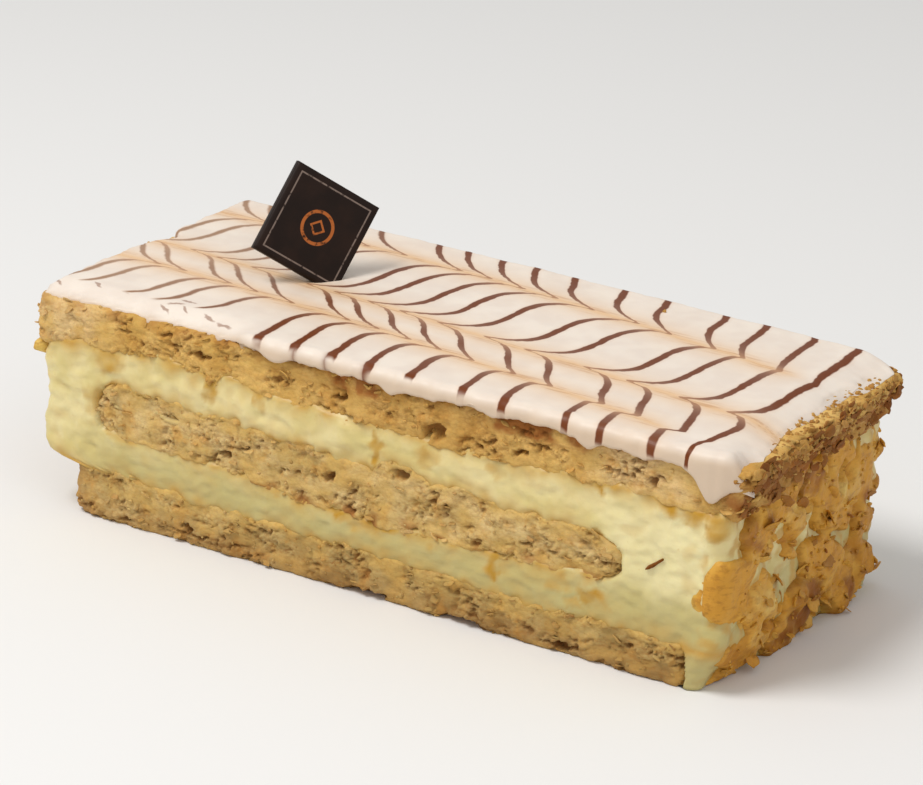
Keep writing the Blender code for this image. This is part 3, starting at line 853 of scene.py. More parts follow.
def make_cream():
    x, y, out_x, out_y = round_trip(
        CREAM_LEFT, CREAM_RIGHT, 0.0, back_cut(CREAM_LEFT), 2.2, CREAM_STEP
    )
    columns, rows = len(x), 74
    z = np.linspace(0.25, 31.2, rows)[None, :] + 0.0 * x[:, None]
    x, y, out_x, out_y = (np.repeat(part[:, None], rows, axis=1) for part in (x, y, out_x, out_y))
    place = np.stack([x, y, z], axis=-1)

    # The left end hangs over the end of the bottom sheet and bulges under the sheets above.
    at_left = rise(x, 26.0, 3.0)
    x = x + 7.5 * (1.0 - rise(z, 7.4, 9.6)) * at_left
    lobes = np.where(z < 19.0, 1.0 - np.abs(z - 13.0) / 3.8, 0.8 - np.abs(z - 25.0) / 4.2)
    x = x - (0.9 + 0.8 * np.clip(lobes, -1.0, 1.0)) * at_left * rise(z, 8.5, 10.5)
    x = x - worn_foot(y, z) * rise(x, 100.0, 122.0)

    # It is sunk where a sheet shows, from a little inside the sheet's edges.
    over_base, under, over, top = (f(x, y) for f in (base_seam, under_middle, over_middle, under_top))
    share = np.clip(np.abs(2.0 * (z - under) / (over - under) - 1.0), 0.0, 1.4)
    ends = inside(x, MIDDLE_ENDS[0] + 1.2, MIDDLE_ENDS[1] - 1.0, 1.0)
    ends *= inside(x, MIDDLE_ENDS[0] + 2.2 * share**2.5, MIDDLE_ENDS[1] - 2.2 * share**2.5, 1.0)
    in_base = rise(over_base - z, 0.0, LAP) * inside(x, 6.0, 118.0, 0.6)
    in_middle = rise(np.minimum(z - under, over - z), 0.0, LAP) * ends
    in_top = rise(z - top, 0.0, LAP)
    sunk = np.clip(in_base + in_middle + in_top, 0.0, 1.0)

    near = np.minimum(np.abs(z - over_base), np.abs(z - top))
    near = np.minimum(near, np.minimum(np.abs(z - under), np.abs(z - over)) + 9.0 * (1.0 - ends))

    # The knife has dragged tongues of cream down over the pastry in places, and left a film of
    # it on the left of the middle sheet.
    front = np.where(out_y < -0.5, 1.0, 0.0)
    tongues = rise(noise(place * (1.0, 1.0, 0.6), 2.0, 103), 0.1, 0.5)
    tongues *= rise(noise(place, 9.0, 111), -0.2, 0.3)
    film = front * inside(x, 12.0, 36.0, 6.0) * inside(z, 15.5, 22.0, 1.0)
    film *= rise(noise(place, (3.2, 3.2, 1.6), 112), -0.15, 0.25)
    cover = np.clip(tongues * (sunk < 0.75) + film, 0.0, 1.0)
    lip = front * hollows(x, z, ((51.0, 25.4, 14.0, 4.4),))
    out = 0.3 * noise(place, (5.0, 5.0, 4.0), 104) + 0.2 * noise(place, (2.2, 2.2, 1.7), 105)
    out += 0.08 * noise(place, (0.9, 0.9, 0.7), 106)
    out += 0.45 * (0.25 - np.abs(noise(place + out[..., None], (3.4, 3.4, 2.0), 118)))
    out += 0.05 + 0.45 * rise(lip, 0.0, 0.5) - 3.8 * sunk * (1.0 - cover) - 0.25 * sunk
    out -= 0.25 * np.exp(-near / 0.7) * (1.0 - cover)
    right_end = rise(x, 119.0, 122.0)
    out += right_end * (0.7 + 0.8 * noise(place, 4.0, 107))
    points = np.stack([x + out_x * out, y + out_y * out, z], axis=-1)

    dust = np.exp(-near / (1.5 + 1.2 * noise(place, 6.0, 117))) * (0.85 + 0.8 * noise(place, 2.5, 108))
    dust = np.maximum(dust, 0.3 * rise(noise(place, (4.0, 4.0, 3.0), 109), 0.2, 0.7))
    dust = np.maximum(dust, 0.8 * right_end * rise(noise(place, (1.6, 1.6, 2.4), 119), -0.1, 0.4))
    blur = np.stack([noise(place, 1.9, 110), noise(place, 1.9, 113)]) * 1.1
    blur += np.stack([noise(place, 0.8, 114), noise(place, 0.8, 115)]) * 0.4
    fall_off = 0.75 + 0.5 * noise(place, 2.2, 116)
    drag = front * rise(hollows(x + blur[0], z + blur[1], DRAGS), 0.0, 1.0) * fall_off
    dust = np.clip(np.maximum(np.maximum(dust, 0.9 * drag), 0.6 * film), 0.0, 1.0)
    stain_and_shade = front * rise(hollows(x + blur[0], z + blur[1], STAINS_AND_SHADE), 0.0, 1.0) * (fall_off + 0.1)
    points, faces = close_block(points, columns, rows)
    lids = np.zeros(len(points) - columns * rows)
    marks = {"dust": dust, "stain_and_shade": np.clip(stain_and_shade, 0.0, 1.0)}
    marks = {mark: np.concatenate([values.ravel(), lids]) for mark, values in marks.items()}
    return put("cream", points, faces, pastry_cream, **marks)


cream = make_cream()
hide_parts("lower_cream", "upper_cream")

# ---- Icing --------------------------------------------------------------------------------
# White fondant poured over the top sheet, so that it rolls over the cut edges and sets in drips.
# Lines of chocolate piped across it are drawn into feathers with a pick, one way and the other.

ICING_STEP = 0.5
ICING_ENDS = (0.9, 125.6)
EDGE_HEIGHTS = ((0.0, 36.5), (38.0, 36.2), (47.0, 35.3), (95.0, 35.1), (108.0, 34.6), (126.0, 34.4))
DRIPS = (
    (46.6, 1.8, 0.9),
    (68.0, 1.8, 1.2),
    (74.0, 3.0, 0.5),
    (86.0, 1.8, 0.6),
    (101.4, 1.8, 1.3),
    (110.0, 2.0, 0.6),
    (121.8, 3.2, 2.8),
    (120.8, 1.5, 2.0),
)
PIPED = (3.5, 8.7, 18.2, 23.8, 31.3, 42.8, 48.7, 55.4, 62, 69.3, 78.6, 86.4, 97, 104.1, 112.5, 120)


def icing_finish():
    """White icing with its feathered chocolate lines."""
    icing = Finish("feathered_icing", Roughness=0.45)
    icing.shader.inputs["Specular IOR Level"].default_value = 0.25
    icing.set(Subsurface_Weight=0.06, Subsurface_Radius=(1.0, 0.8, 0.6), Subsurface_Scale=0.0006)
    icing.set(Coat_Weight=0.04, Coat_Roughness=0.18)
    place = icing.places()
    wobble = icing.grain(place, 5.0, 2.0)
    fine = icing.grain(place, 1.4, 2.0)
    x, y, z = icing.split(place)

    # The pick was drawn along the slice in turn to the right and to the left. Each stroke is how
    # far it starts from the front cut, where it starts to fall, the fall, its power, its pull on
    # the lines behind it and before it, its reach, where the pull starts to fade and by how much,
    # and where the stroke ends.
    strokes = (
        (46.4, 25.0, 13.5, 1.55, 10.0, 6.0, 2.4, 80.0, 0.97, 117.0),
        (28.0, 0.0, 14.0, 1.15, -9.0, -4.8, 2.3, 80.0, 0.5, 150.0),
        (18.7, 0.0, 16.5, 1.5, 9.0, 4.2, 2.0, 50.0, 1.0, 112.0),
    )
    slant = 0.17 * x.rise(36.0, 50.0) * (1.0 - 2.4 * x.rise(114.0, 119.0))
    drawn = x + 0.9 * (wobble - 0.5) - slant * (10.0 - y).most(0.0)
    combed = None
    for start, falls_from, fall, power, behind, before, reach, fades_from, fades_by, end in strokes:
        share = ((x - falls_from) / (120.0 - falls_from)).most(0.0)
        past = y + fall * share**power - start + 0.6 * (fine - 0.5)
        pull = before + (behind - before) * past.rise(-0.5, 0.5)
        fading = 1.0 - fades_by * x.rise(fades_from, 124.0)
        drawn = drawn - pull * fading * abs(past).fade(reach)
        near = abs(past).fade(2.5) * 1.1 * x.rise(end + 4.0, end - 4.0)
        combed = near if combed is None else combed.most(near)

    # Before the last stroke the lines lag to the left, most near the right end, and those at the
    # left curl back as they run out.
    lag = 0.4 + 1.0 * x.rise(78.0, 86.0) + 1.4 * x.rise(96.0, 104.0) - 2.4 * x.rise(112.0, 120.0)
    drawn = drawn + lag * past.rise(1.0, -0.8)
    drawn = drawn + 3.5 * (1.0 - x.rise(33.0, 40.0)) * abs(y - 4.6).fade(2.0)
    drawn = drawn + 0.3 * (y - 49.0).most(0.0)

    nearest = None
    for line in PIPED:
        gap = abs(drawn - float(line))
        nearest = gap if nearest is None else nearest.least(gap)
    stop = 5.0 - 5.6 * x.rise(37.0, 43.0) + 3.0 * (wobble - 0.5)
    blob = abs(y - stop - 0.7).fade(0.8) * x.rise(45.0, 48.0) * x.rise(96.0, 90.0)
    half_width = 0.4 + 0.2 * x.rise(28.0, 45.0) + 0.35 * (fine - 0.5) + 0.22 * blob
    soft = 0.5 - 0.3 * x.rise(20.0, 50.0)
    line = (nearest - half_width).rise(soft, -0.1)
    halo = (nearest - half_width).rise(0.9, 0.0)

    # Most lines stop before the rolled edge, and three run a little way down it. At the left they
    # stop well inside it, with loose dashes past their ends.
    kept = (y - stop).rise(-0.5, 0.4)
    over_roll = (z + 0.9 * x.rise(96.0, 99.0) + 1.5 * (wobble - 0.5)).rise(35.2, 36.2)
    kept = kept.most(over_roll * x.rise(83.0, 85.0))
    drips = None
    for at in (50.4, 56.2, 63.0):
        side = abs(x - at - 0.2 * (36.0 - z) + 0.6 * (fine - 0.5)).fade(0.4)
        drips = side if drips is None else drips.most(side)
    drips = drips * y.rise(1.5, -0.3) * z.rise(34.0, 35.5)
    dots = None
    dashes = ((2.1, 3.6, 0.8), (8.9, 4.8, 0.6), (23.2, 3.2, 0.5), (24.2, 5.0, -0.4), (26.6, 4.0, 0.9))
    dashes += ((25.4, 6.6, 0.1), (31.6, 3.4, 0.4), (35.0, 2.6, 0.2))
    for at, across, falls in dashes:
        right, deep = x - at, y - across
        beside = deep + falls * right + 1.2 * (fine - 0.5)
        far = beside**2.0 * 6.0 + (right - falls * deep) ** 2.0 * 0.3
        dots = far.rise(1.1, 0.2) if dots is None else dots.most(far.rise(1.1, 0.2))

    streak = icing.grain(icing.stretch(place, (0.08, 1.0, 1.0)), 0.55, 3.0, 0.6)
    colour = icing.blend(wobble.rise(0.3, 0.7), shown(226, 213, 201), shown(233, 222, 210))
    # Painted shade: darker on the front of the icing's roll, towards its lower edge.
    colour = icing.blend(z.rise(37.8, 35.8) * y.rise(2.5, 0.0) * 0.85, colour, shown(206, 182, 156))
    colour = icing.blend(combed.least(1.0), colour, shown(224, 188, 148))
    colour = icing.blend(combed.rise(0.3, 0.9) * streak.rise(0.5, 0.64) * 0.5, colour, shown(184, 134, 92))
    colour = icing.blend(halo * 0.3 * kept, colour, shown(222, 190, 164))
    chocolate = icing.blend(x.rise(6.0, 45.0), shown(158, 122, 94), shown(108, 48, 0))
    chocolate = icing.blend(combed.rise(0.3, 1.0) * 0.6, chocolate, shown(164, 106, 66))
    colour = icing.blend(line * kept * (1.0 - 0.3 * combed.least(1.0)), colour, chocolate)
    colour = icing.blend(dots * 0.65, colour, shown(136, 90, 64))
    colour = icing.blend(drips * 0.75, colour, shown(120, 74, 54))
    icing.set(Base_Color=colour)
    icing.bump(combed * -0.5 + line * kept * -0.25 + wobble * 0.6, 0.14, 0.8)
    return icing.material


feathered_icing = icing_finish()


def icing_depth(x, y):
    """How thick the icing lies: it runs out thin along the left of the front cut and at the
    right end behind the corner."""
    thin = 0.72 * rise(x, 43.0, 35.0) * rise(y, 5.5, 0.0)
    thin = np.maximum(thin, 0.75 * rise(x, 119.0, 126.0) * rise(y, 1.0, 7.0))
    return 2.0 * (1.0 - thin)


def make_icing():
    """The outer face of the icing from its front lip, up and over the roll, across the top and
    down to its back lip, for each column along the slice, and a flat face under it."""
    along = np.arange(ICING_ENDS[0], ICING_ENDS[1] + 0.01, ICING_STEP)
    spine = np.stack([along, 0.0 * along, 0.0 * along], axis=-1)
    edge = np.interp(along, *zip(*EDGE_HEIGHTS)) + 0.35 * noise(spine, 2.6, 201)
    edge += 0.25 * noise(spine, 1.1, 202)
    for at, width, fall in DRIPS:
        edge -= fall * np.exp(-(((along - at) / width) ** 2))
    flat = top_top(along, 0.0 * along) + icing_depth(along, 0.0 * along) + 0.2 * noise(spine, 5.0, 215)
    at_left = rise(along, 43.0, 35.0)
    stands = 0.75 + 0.12 * np.clip(flat - edge, 0.0, 4.0) + 0.35 * noise(spine, 3.0, 203)
    stands += 0.15 * noise(spine, 1.4, 217)
    inset = -1.1 + 0.9 * noise(spine, 3.4, 211) + 0.5 * noise(spine, 1.2, 212)
    stands = stands + at_left * (inset - stands)
    edge = edge + at_left * (top_top(along, 0.0 * along) - 0.5 - edge)

    def roll(edge, flat, stands):
        """The lip, the drop and the round shoulder, as steps out from the cut and heights."""
        lip = np.minimum(0.48 * np.abs(stands), 0.3 * (flat - edge))
        softness = 1.9 + 0.7 * noise(spine, 3.0, 213) + 0.3 * noise(spine, 1.4, 218)
        shoulder = np.minimum(softness, 0.75 * (flat - edge))
        out, up = [], []
        for turn in np.radians(np.linspace(-170.0, 0.0, 7)):
            out.append(stands - lip + lip * math.cos(turn))
            up.append(edge + lip + lip * math.sin(turn))
        for share in (0.33, 0.66):
            out.append(stands + 0.0 * edge)
            up.append(edge + lip + (flat - shoulder - edge - lip) * share)
        for turn in np.radians(np.linspace(0.0, 90.0, 9)):
            out.append(stands - shoulder + shoulder * math.cos(turn))
            up.append(flat - shoulder + shoulder * math.sin(turn))
        return np.array(out), np.array(up)

    out, up = roll(edge, flat, stands)
    back = back_cut(along)
    flat_back = top_top(along, back) + icing_depth(along, back)
    edge_back = flat_back - 1.9 - 0.5 * noise(spine, 3.0, 204) + 0.3 * noise(spine, 1.3, 205)
    back_out, back_up = roll(edge_back, flat_back, 0.75 + 0.1 * noise(spine, 3.0, 206))
    across = [-row for row in out]
    heights = list(up)
    first, last = across[-1], back + back_out[-1]
    for share in np.linspace(0.0, 1.0, 101)[1:-1]:
        y = first + (last - first) * share
        across.append(y)
        heights.append(top_top(along, y) + icing_depth(along, y))
    across += [back + row for row in back_out[::-1]]
    heights += list(back_up[::-1])
    x = np.repeat(along[:, None], len(across), axis=1)
    y, z = np.array(across).T, np.array(heights).T
    place = np.stack([x, y, z], axis=-1)

    # Thin and rounded towards both ends, and a little uneven all over.
    uneven = 0.9 * noise(place * (0.0, 1.0, 0.0), 6.0, 207) + 0.5 * noise(place * (0.0, 1.0, 0.0), 2.0, 208)
    from_left = np.clip((x - ICING_ENDS[0]) / 1.6, 0.0, 1.0)
    from_right = np.clip((ICING_ENDS[1] - x) / 1.6, 0.0, 1.0)
    rounded = np.sqrt(1.0 - (1.0 - np.minimum(from_left, from_right)) ** 2)
    rest = top_top(x, y)
    z = np.where(z > rest, rest - 0.2 + (z - rest + 0.2) * (0.05 + 0.95 * rounded), z)
    z = z + 0.1 * noise(place, 8.0, 209) + 0.04 * noise(place, 2.5, 210)
    uneven += 0.35 * noise(place * (0.0, 1.0, 0.0), 0.8, 214)
    near_end = np.exp(-np.minimum(x - ICING_ENDS[0], ICING_ENDS[1] - x) / 3.0)
    near_right = np.exp(-(ICING_ENDS[1] - x) / 4.0)
    at_places = ((-2.0, 0.6), (6.0, 0.3), (12.0, -0.8), (18.0, -1.7), (36.0, -1.9), (44.0, -0.8), (50.0, 1.0))
    run_out = np.interp(y, *zip(*at_places))
    bare_left = 4.0 * np.exp(-(((y - 31.5) / 2.6) ** 2)) * np.exp(-(x - ICING_ENDS[0]) / 4.0)

    # It flows down round the front right corner, and hangs there over the end of the pastry.
    to_right = np.clip(1.0 - (ICING_ENDS[1] - x) / 2.6, 0.0, 1.0) ** 1.5
    hem = 31.2 + 0.8 * np.clip(y, 0.0, 9.0) + 0.4 * noise(place * (0.0, 1.0, 1.0), 1.5, 216)
    z = np.where(z > hem, hem + (z - hem) * (1.0 - 0.92 * to_right * rise(y, 7.5, 5.0)), z)
    bent = np.clip(1.0 - (ICING_ENDS[1] - x) / 5.0, 0.0, 1.0)
    y = y - 1.7 * bent**3 * rise(y, 38.0, 52.0) + 2.4 * bent**2 * rise(y, 6.0, 0.0)
    x = x + uneven * near_end + run_out * near_right + bare_left + 0.7 * to_right * rise(y, 7.0, 4.0)
    points = np.stack([x, y, z], axis=-1)
    columns, rows = x.shape
    faces = grid_faces(columns, rows, False)

    # The face under it, which lies on the pastry, meets the lips and both ends.
    under = []
    for column in range(columns):
        x0, lip = points[column, 0, :2]
        lip = max(0.3, lip + 0.3)
        hangs = 3.2 * to_right[column, 0]
        for y0 in (lip, lip + 0.7, 4.8, 8.0, 12.0, 25.0, 38.0, back[column] - 1.0, back[column] - 0.3):
            under.append((x0, y0, top_top(x0, y0) - 0.6 - hangs * (y0 < 5.0)))
    count = columns * rows
    steps = 9
    under_faces = grid_faces(columns, steps, False)[:, ::-1] + count
    faces = np.concatenate([faces, under_faces]).tolist()
    for column in range(columns - 1):
        a, b = column, column + 1
        faces.append((a * rows, count + a * steps, count + b * steps, b * rows))
        faces.append(
            (
                a * rows + rows - 1,
                b * rows + rows - 1,
                count + b * steps + steps - 1,
                count + a * steps + steps - 1,
            )
        )
    for column, flip in ((0, False), (columns - 1, True)):
        loop = list(range(column * rows, (column + 1) * rows))
        loop += list(range(count + (column + 1) * steps - 1, count + column * steps - 1, -1))
        faces.append(loop[::-1] if flip else loop)
    points = np.concatenate([points.reshape(-1, 3), np.array(under)])
    return put("icing_top", points, faces, feathered_icing)


icing_top = make_icing()
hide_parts("icing")

# ---- Chocolate plaque ---------------------------------------------------------------------
# A thin square of dark chocolate, pushed into the icing on one corner while it was soft. It
# carries a plain copper frame and a ring, printed in coloured cocoa butter.

PLAQUE_SIDE = 15.6
PLAQUE_THICKNESS = 1.8


def chocolate_finish():
    dark = Finish("dark_chocolate", Roughness=0.45)
    dark.shader.inputs["Specular IOR Level"].default_value = 0.2
    place = dark.places(shift=(0.0, 0.0, 0.0))
    x, y, z = dark.split(place)
    haze = dark.grain(place, 4.0, 3.0)
    colour = dark.blend(haze.rise(0.35, 0.7), shown(26, 13, 7), shown(36, 20, 12))
    far = abs(x).most(abs(z))
    frame_line = (abs(far - 6.6) - 0.08).rise(0.08, 0.0) * y.rise(-0.5, -0.8)
    ring = (abs((x * x + z * z) ** 0.5 - 2.6) - 0.22).rise(0.1, 0.0)
    lozenge = (abs(abs(x) + abs(z) - 1.2) - 0.18).rise(0.1, 0.0)
    printed = ring.most(lozenge) * y.rise(-0.5, -0.8)
    worn = dark.grain(place, 0.6, 3.0).rise(0.25, 0.5)
    colour = dark.blend(frame_line * worn * 0.7, colour, shown(150, 132, 122))
    colour = dark.blend(printed * worn, colour, shown(176, 98, 44))
    dark.set(Base_Color=colour, Roughness=0.4 + 0.15 * haze)
    dark.bump(dark.grain(place, 3.0, 2.0), 0.15, 0.4)
    return dark.material


half = PLAQUE_SIDE / 2.0
round_edge = 0.35
ticks = np.concatenate([[-half], np.linspace(-half + 0.08, half - 0.08, 41), [half]])


def plaque_points():
    """A soft-edged plate: both faces, joined round the rim, about its own middle."""
    steps = len(ticks)
    across, up = np.meshgrid(ticks, ticks, indexing="ij")
    rim = np.minimum(half - np.abs(across), half - np.abs(up))
    soft = np.sqrt(np.clip(1.0 - (1.0 - np.clip(rim / round_edge, 0.0, 1.0)) ** 2, 0.0, 1.0))
    depth = 0.5 * PLAQUE_THICKNESS - round_edge + round_edge * soft
    flat = np.stack([across, -depth, up], axis=-1).reshape(-1, 3)
    rear = np.stack([across, depth, up], axis=-1).reshape(-1, 3)
    faces = grid_faces(steps, steps, False)
    count = steps * steps
    rim_run = list(range(0, count, steps)) + list(range(count - steps + 1, count))
    rim_run += list(range(count - 1 - steps, steps - 2, -steps)) + list(range(steps - 2, 0, -1))
    sides = []
    for a, b in zip(rim_run, rim_run[1:] + rim_run[:1]):
        sides.append((a, a + count, b + count, b))
    return np.concatenate([flat, rear]), faces.tolist() + (faces[:, ::-1] + count).tolist() + sides


points, faces = plaque_points()
mesh = bpy.data.meshes.new("plaque")
mesh.from_pydata(points * MM, [], faces)
mesh.materials.append(chocolate_finish())
mesh.shade_smooth()
plaque = bpy.data.objects.new("plaque", mesh)
scene.collection.objects.link(plaque)
turn = (
    Matrix.Rotation(math.radians(54.5), 4, "Z")
    @ Matrix.Rotation(math.radians(-14.2), 4, "X")
    @ Matrix.Rotation(math.radians(33.5), 4, "Y")
)
tip = max((corner.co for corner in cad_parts["chocolate_plaque"].data.vertices), key=lambda co: co.z)
shift = turn @ (Vector((-half, -0.5 * PLAQUE_THICKNESS, half)) * MM)
plaque.matrix_world = Matrix.Translation(tip - shift) @ turn
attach(plaque, "root")
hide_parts("chocolate_plaque")

# ---- Flakes on the right end --------------------------------------------------------------
# Offcuts of the pastry, crushed and pressed by hand onto the soft cream of the end. The large
# leaves lie flat over each other, cream shows between them, and smaller ones curl off.

COAT_STEP = 0.28


def flake_finish():
    flakes = Finish("pastry_flakes", Roughness=0.55)
    flakes.shader.inputs["Specular IOR Level"].default_value = 0.3
    flakes.set(Subsurface_Weight=0.12, Subsurface_Radius=(1.0, 0.7, 0.35), Subsurface_Scale=0.0008)
    place = flakes.places()
    cloud = flakes.grain(place, 2.6, 3.0)
    fine = flakes.grain(place, 0.8, 3.0, 0.6)
    x, y, z = flakes.split(place)
    low_right = x.rise(100.0, 110.0) * y.rise(14.0, 20.0) * z.rise(24.0, 16.0)
    shade = flakes.mark("shade") + 0.5 * (cloud - 0.5) - 0.18 * low_right
    colour = flakes.blend(shade.rise(0.0, 0.25), shown(144, 84, 10), shown(184, 124, 26))
    colour = flakes.blend(shade.rise(0.25, 0.5), colour, shown(206, 148, 48))
    colour = flakes.blend(shade.rise(0.5, 0.72), colour, shown(212, 164, 76))
    colour = flakes.blend(shade.rise(0.75, 1.0), colour, shown(228, 200, 118))
    colour = flakes.blend(flakes.mark("rim") * 0.5, colour, shown(224, 184, 90))
    colour = flakes.blend(flakes.mark("cream") * (0.4 + 0.6 * cloud), colour, shown(208, 174, 80))
    fibres = flakes.grain(flakes.stretch(place, (1.0, 0.45, 1.6)), 1.2, 4.0, 0.6)
    colour = flakes.blend(fibres.rise(0.48, 0.68) * 0.45, colour, shown(148, 92, 24))
    colour = flakes.blend(fine.rise(0.52, 0.75) * 0.25, colour, shown(146, 90, 24))
    flakes.set(Base_Color=colour)
    flakes.bump(fine * 0.4 + cloud * 0.3 + fibres * 0.5, 0.3, 0.7)
    return flakes.material


pastry_flakes = flake_finish()


def press(random, along, up, leaves):
    """The relief of leaves pressed over each other. A leaf is its middle, half length, half
    height, spin, lift and shade. Gives the height of the highest leaf at each place, its shade,
    and how near its rim the place is."""
    height = np.full_like(along, -1.2)
    shade, rim = np.zeros_like(along), np.zeros_like(along)
    for x, z, half_length, half_height, spin, lift, tone in leaves:
        a = ((along - x) * math.cos(spin) + (up - z) * math.sin(spin)) / half_length
        b = ((up - z) * math.cos(spin) - (along - x) * math.sin(spin)) / half_height
        reach = np.hypot(a, b) / torn(random, np.arctan2(b, a), 0.7)
        tilt = random.normal(size=2) * 0.22
        here = lift + tilt[0] * a + tilt[1] * b + random.uniform(-0.5, 0.1) * reach**2
        here = here + random.uniform(-0.7, 0.3) * rise(reach, 0.7, 1.0)
        top = (reach < 1.0) & (here > height)
        height = np.where(top, here, height)
        shade = np.where(top, tone, shade)
        rim = np.where(top, rise(reach, 0.75, 1.0), rim)
    return height, shade, rim


def softened(field):
    """A field of values over the coat with its steps smoothed a little."""
    for _ in range(4):
        beside = np.roll(field, 1, 0) + np.roll(field, -1, 0) + np.roll(field, 1, 1) + np.roll(field, -1, 1)
        field = 0.2 * (field + beside)
    return field


def coat(path, foot, top, leaves, bare, shape, random):
    """A crust of pressed leaves along a path in plan, as one closed shell. bare are the places
    where cream is left showing, and shape moves its points to follow the end of the slice. Gives
    the shell and its outer points and directions."""
    x, y, out_x, out_y, gone = path
    rows = int((top - foot) / COAT_STEP)
    z = np.linspace(foot, top, rows)[None, :] + 0.0 * x[:, None]
    x, y, out_x, out_y, gone = (np.repeat(p[:, None], rows, axis=1) for p in (x, y, out_x, out_y, gone))
    place = np.stack([x, y, z], axis=-1)
    warp = 0.6 * noise(place, 2.2, 310) + 0.3 * noise(place, 0.9, 311)
    height, shade, rim = (softened(f) for f in press(random, gone + warp, z + 0.7 * warp, leaves))
    height = height - 3.0 * rise(hollows(gone + 1.5 * warp, z + 1.5 * warp, bare), 0.0, 0.5)
    height += 0.2 * noise(place, 2.6, 312) + 0.15 * noise(place, 1.0, 313)
    pressed_through = rise(height, 0.8, 0.0) * rise(noise(place, 2.4, 315), -0.4, 0.2)
    x, height = shape(x, y, z, height)
    outer = np.stack([x + out_x * height, y + out_y * height, z], axis=-1)
    inner = np.stack([x - out_x * 2.2, y - out_y * 2.2, z], axis=-1)
    columns = len(x)
    faces = grid_faces(columns, rows, False).tolist()
    count = columns * rows
    faces += (grid_faces(columns, rows, False)[:, ::-1] + count).tolist()
    rim_run = [column * rows for column in range(columns)]
    rim_run += [(columns - 1) * rows + row for row in range(1, rows)]
    rim_run += [column * rows + rows - 1 for column in range(columns - 2, -1, -1)]
    rim_run += [row for row in range(rows - 2, 0, -1)]
    for a, b in zip(rim_run, rim_run[1:] + rim_run[:1]):
        faces.append((b, a, a + count, b + count))
    points = np.concatenate([outer.reshape(-1, 3), inner.reshape(-1, 3)])
    marks = {
        "shade": np.concatenate([shade.ravel(), np.zeros(count)]),
        "rim": np.concatenate([rim.ravel(), np.zeros(count)]),
        "cream": np.concatenate([pressed_through.ravel(), np.zeros(count)]),
    }
    seats = [
        (point, (wx, wy))
        for point, wx, wy, h in zip(outer.reshape(-1, 3), out_x.ravel(), out_y.ravel(), height.ravel())
        if h > 0.0
    ]
    return (points, faces, marks), seats


# The largest leaves on the right end: how far round from the front corner, height, half
# length, half height, spin, lift and shade.
LARGE_LEAVES = (
    (2.0, 16.3, 6.6, 6.4, -0.5, 1.5, 0.5),
    (12.5, 20.5, 3.4, 2.4, -0.9, 1.3, 0.6),
    (9.0, 20.5, 3.2, 2.4, -0.7, 1.3, 0.5),
    (10.6, 14.8, 3.2, 2.6, -0.6, 1.2, 0.55),
    (14.0, 9.8, 5.8, 3.1, -0.3, 1.8, 0.62),
    (8.6, 4.2, 8.2, 3.4, -0.15, 1.6, 0.3),
    (11.8, 23.4, 5.4, 3.0, -0.4, 1.8, 0.42),
    (20.4, 21.5, 4.6, 1.9, -0.5, 2.5, 0.72),
    (35.5, 19.4, 6.6, 5.2, -0.3, 2.2, 0.6),
    (31.2, 12.0, 9.5, 3.8, -0.3, 2.3, 0.64),
    (26.9, 5.3, 5.6, 4.8, -0.3, 1.8, 0.12),
    (40.3, 4.9, 9.0, 3.8, -0.3, 2.3, 0.6),
    (45.7, 13.3, 4.4, 2.6, -0.2, 2.4, 0.5),
    (48.0, 6.3, 3.6, 3.2, -0.2, 2.6, 0.5),
    (26.9, 25.9, 5.4, 3.0, -0.3, 1.8, 0.15),
    (45.7, 21.3, 5.0, 5.2, -0.3, 2.1, 0.52),
    (7.5, 12.2, 4.5, 3.0, -0.4, 1.4, 0.45),
    (19.0, 27.0, 6.0, 2.6, -0.3, 1.9, 0.35),
    (36.0, 27.0, 6.0, 2.8, -0.3, 2.1, 0.5),
)


BARE_PLACES = (
    (11.0, 29.2, 0.9, 2.6),
    (36.5, 23.5, 1.2, 2.6),
    (12.5, 17.0, 0.8, 2.6),
    (50.5, 11.5, 1.2, 2.8),
    (42.0, 27.5, 1.5, 2.0),
    (22.0, 26.0, 1.2, 2.4),
    (17.5, 10.5, 1.5, 2.4),
    (1.0, 10.0, 3.4, 1.8),
)


def right_leaves(random):
    leaves = list(LARGE_LEAVES)
    for _ in range(100):
        half_length = random.uniform(1.6, 5.6)
        place = (random.uniform(7.0, 56.0), random.uniform(-1.0, 32.5))
        lift = random.uniform(0.6, 2.5)
        half_height = half_length * random.uniform(0.35, 0.7)
        spin = random.uniform(-1.0, 0.1)
        leaves.append((*place, half_length, half_height, spin, lift, random.uniform(0.1, 0.9)))
    return leaves


def right_path():
    """Round the right end, from a lap on the front cut to a lap on the back cut."""
    x, y, out_x, out_y = round_trip(60.0, CREAM_RIGHT, -0.1, back_cut(60.0) + 0.1, 2.2, COAT_STEP)
    laps = int(np.sum((x > 116.5) & (y < 25.0) & (np.abs(out_x) < 1e-6)))
    gone = np.arange(len(x)) * COAT_STEP
    x, y, out_x, out_y = (np.roll(part, laps) for part in (x, y, out_x, out_y))
    gone = gone - laps * COAT_STEP - 1.7
    keep = (x > 116.5) & (gone < 70.0)
    return tuple(part[keep] for part in (x, y, out_x, out_y, gone))


def right_shape(x, y, z, height):
    """The coat follows the end of the cream, thinner where it laps onto the front cut, and
    stands out further at its foot."""
    height = height * (1.0 - 0.45 * (x < 121.0) * (y < 25.0) * (height > 0.0))
    height = height - 3.0 * rise(x, 121.6, 120.4) * (y < 25.0) * rise(z, 8.0, 6.0)
    height = height + 1.3 * rise(z, 7.0, 0.0) * np.clip(y / 50.0, 0.0, 1.0) * (height > -0.5)
    return x - worn_foot(y, z), height


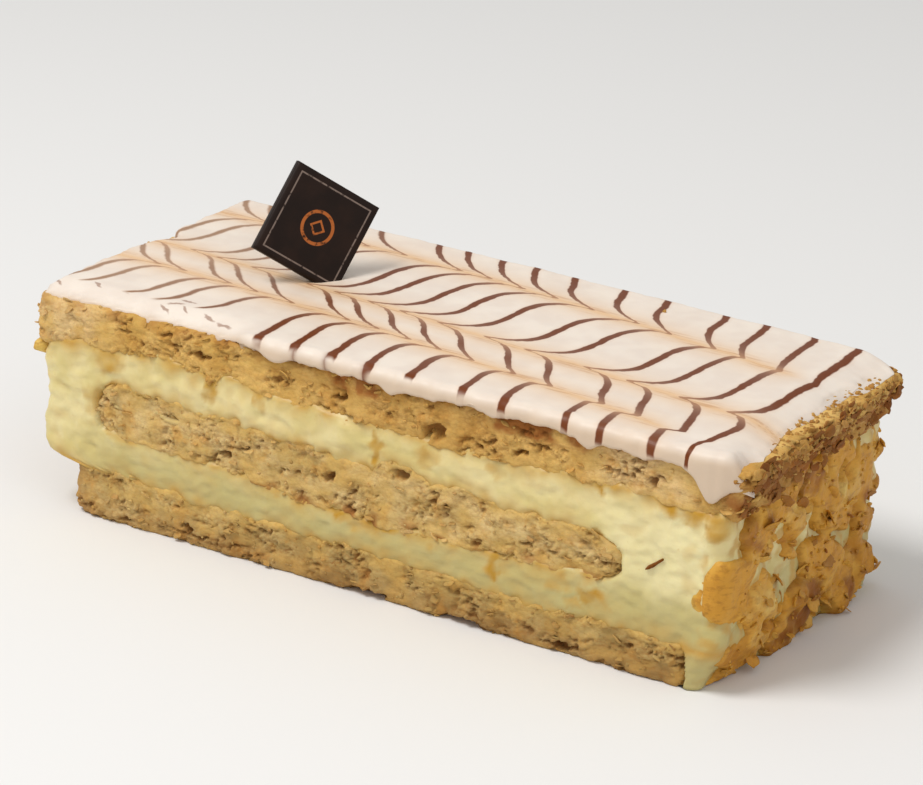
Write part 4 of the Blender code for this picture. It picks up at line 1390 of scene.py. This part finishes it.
random = np.random.default_rng(21)
shell, seats = coat(right_path(), 0.1, 32.0, right_leaves(random), BARE_PLACES, right_shape, random)
seats = [(point, out) for point, out in seats if point[1] > 4.0]
curled = {"shade": (0.0, 0.75), "rim": (0.0, 0.4), "cream": (0.0, 0.3)}
shapes = [shell] + strewn(random, seats, 40, (2.0, 5.0), (0.5, 1.2), (-1.0, 0.1), curled)
shapes += strewn(random, seats, 100, (0.8, 2.2), (0.4, 1.3), (-1.4, 0.6), curled)
shapes += crumbs_on(random, seats, 160, (0.3, 0.9), curled)

# One long leaf sticks out at the back of the foot.
points, faces = flake(random, 7.0, 2.4, 0.3, 0.01)
points = lay(points, np.array((125.2, 49.6, 3.4)), (0.8, 0.6), -0.5, 0.9)
shapes.append((points, faces, {"shade": 0.6, "rim": 0.3, "cream": 0.0}))
points, faces, marks = join(shapes)
right_flakes = put("right_flakes", points, faces, pastry_flakes, **marks)
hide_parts("right_flake_coat")

# ---- Flakes on the left end ---------------------------------------------------------------
# A thinner coat of the same flakes, pressed on behind the front corner.


def left_path():
    x, y, out_x, out_y = round_trip(0.8, 60.0, 0.0, 53.5, 2.2, COAT_STEP)
    keep = (out_x < -0.5) & (y > 5.5)
    gone = np.cumsum(keep)[keep] * COAT_STEP
    return tuple(part[keep] for part in (x, y, out_x, out_y)) + (gone,)


def left_leaves(random):
    leaves = []
    for _ in range(110):
        half_length = random.uniform(1.2, 4.0)
        place = (random.uniform(0.0, 50.0), random.uniform(9.0, 28.0))
        half_height = half_length * random.uniform(0.4, 0.9)
        spin = random.uniform(-1.0, 1.0)
        lift = random.uniform(0.1, 1.4)
        leaves.append((*place, half_length, half_height, spin, lift, random.uniform()))
    return leaves


# It runs out unevenly towards the front, by how far round from the back, and height.
uneven_front = ((48.5, 11.5, 3.2, 3.4), (47.5, 17.0, 1.6, 2.6), (48.5, 21.0, 4.4, 2.4), (48.0, 26.5, 1.8, 2.6))
leaves = left_leaves(random)
shell, seats = coat(left_path(), 9.2, 28.4, leaves, uneven_front, lambda x, y, z, h: (x, h), random)
shapes = [shell] + strewn(random, seats, 70, (1.0, 4.0), (0.2, 0.8), (-1.6, 1.6), curled)
shapes += crumbs_on(random, seats, 120, (0.35, 1.0), curled)

# A thick golden lump of it sticks out under the front corner of the top sheet.
points, faces = flake(random, 5.0, 4.2, 2.2, 0.01)
points = lay(points, np.array((0.6, 2.6, 26.3)), (-0.94, -0.34), 0.2, 1.4)
shapes.append((points, faces, {"shade": 0.85, "rim": 0.6, "cream": 0.4}))
points, faces, marks = join(shapes)
left_flakes = put("left_flakes", points, faces, pastry_flakes, **marks)
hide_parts("left_flake_coat")
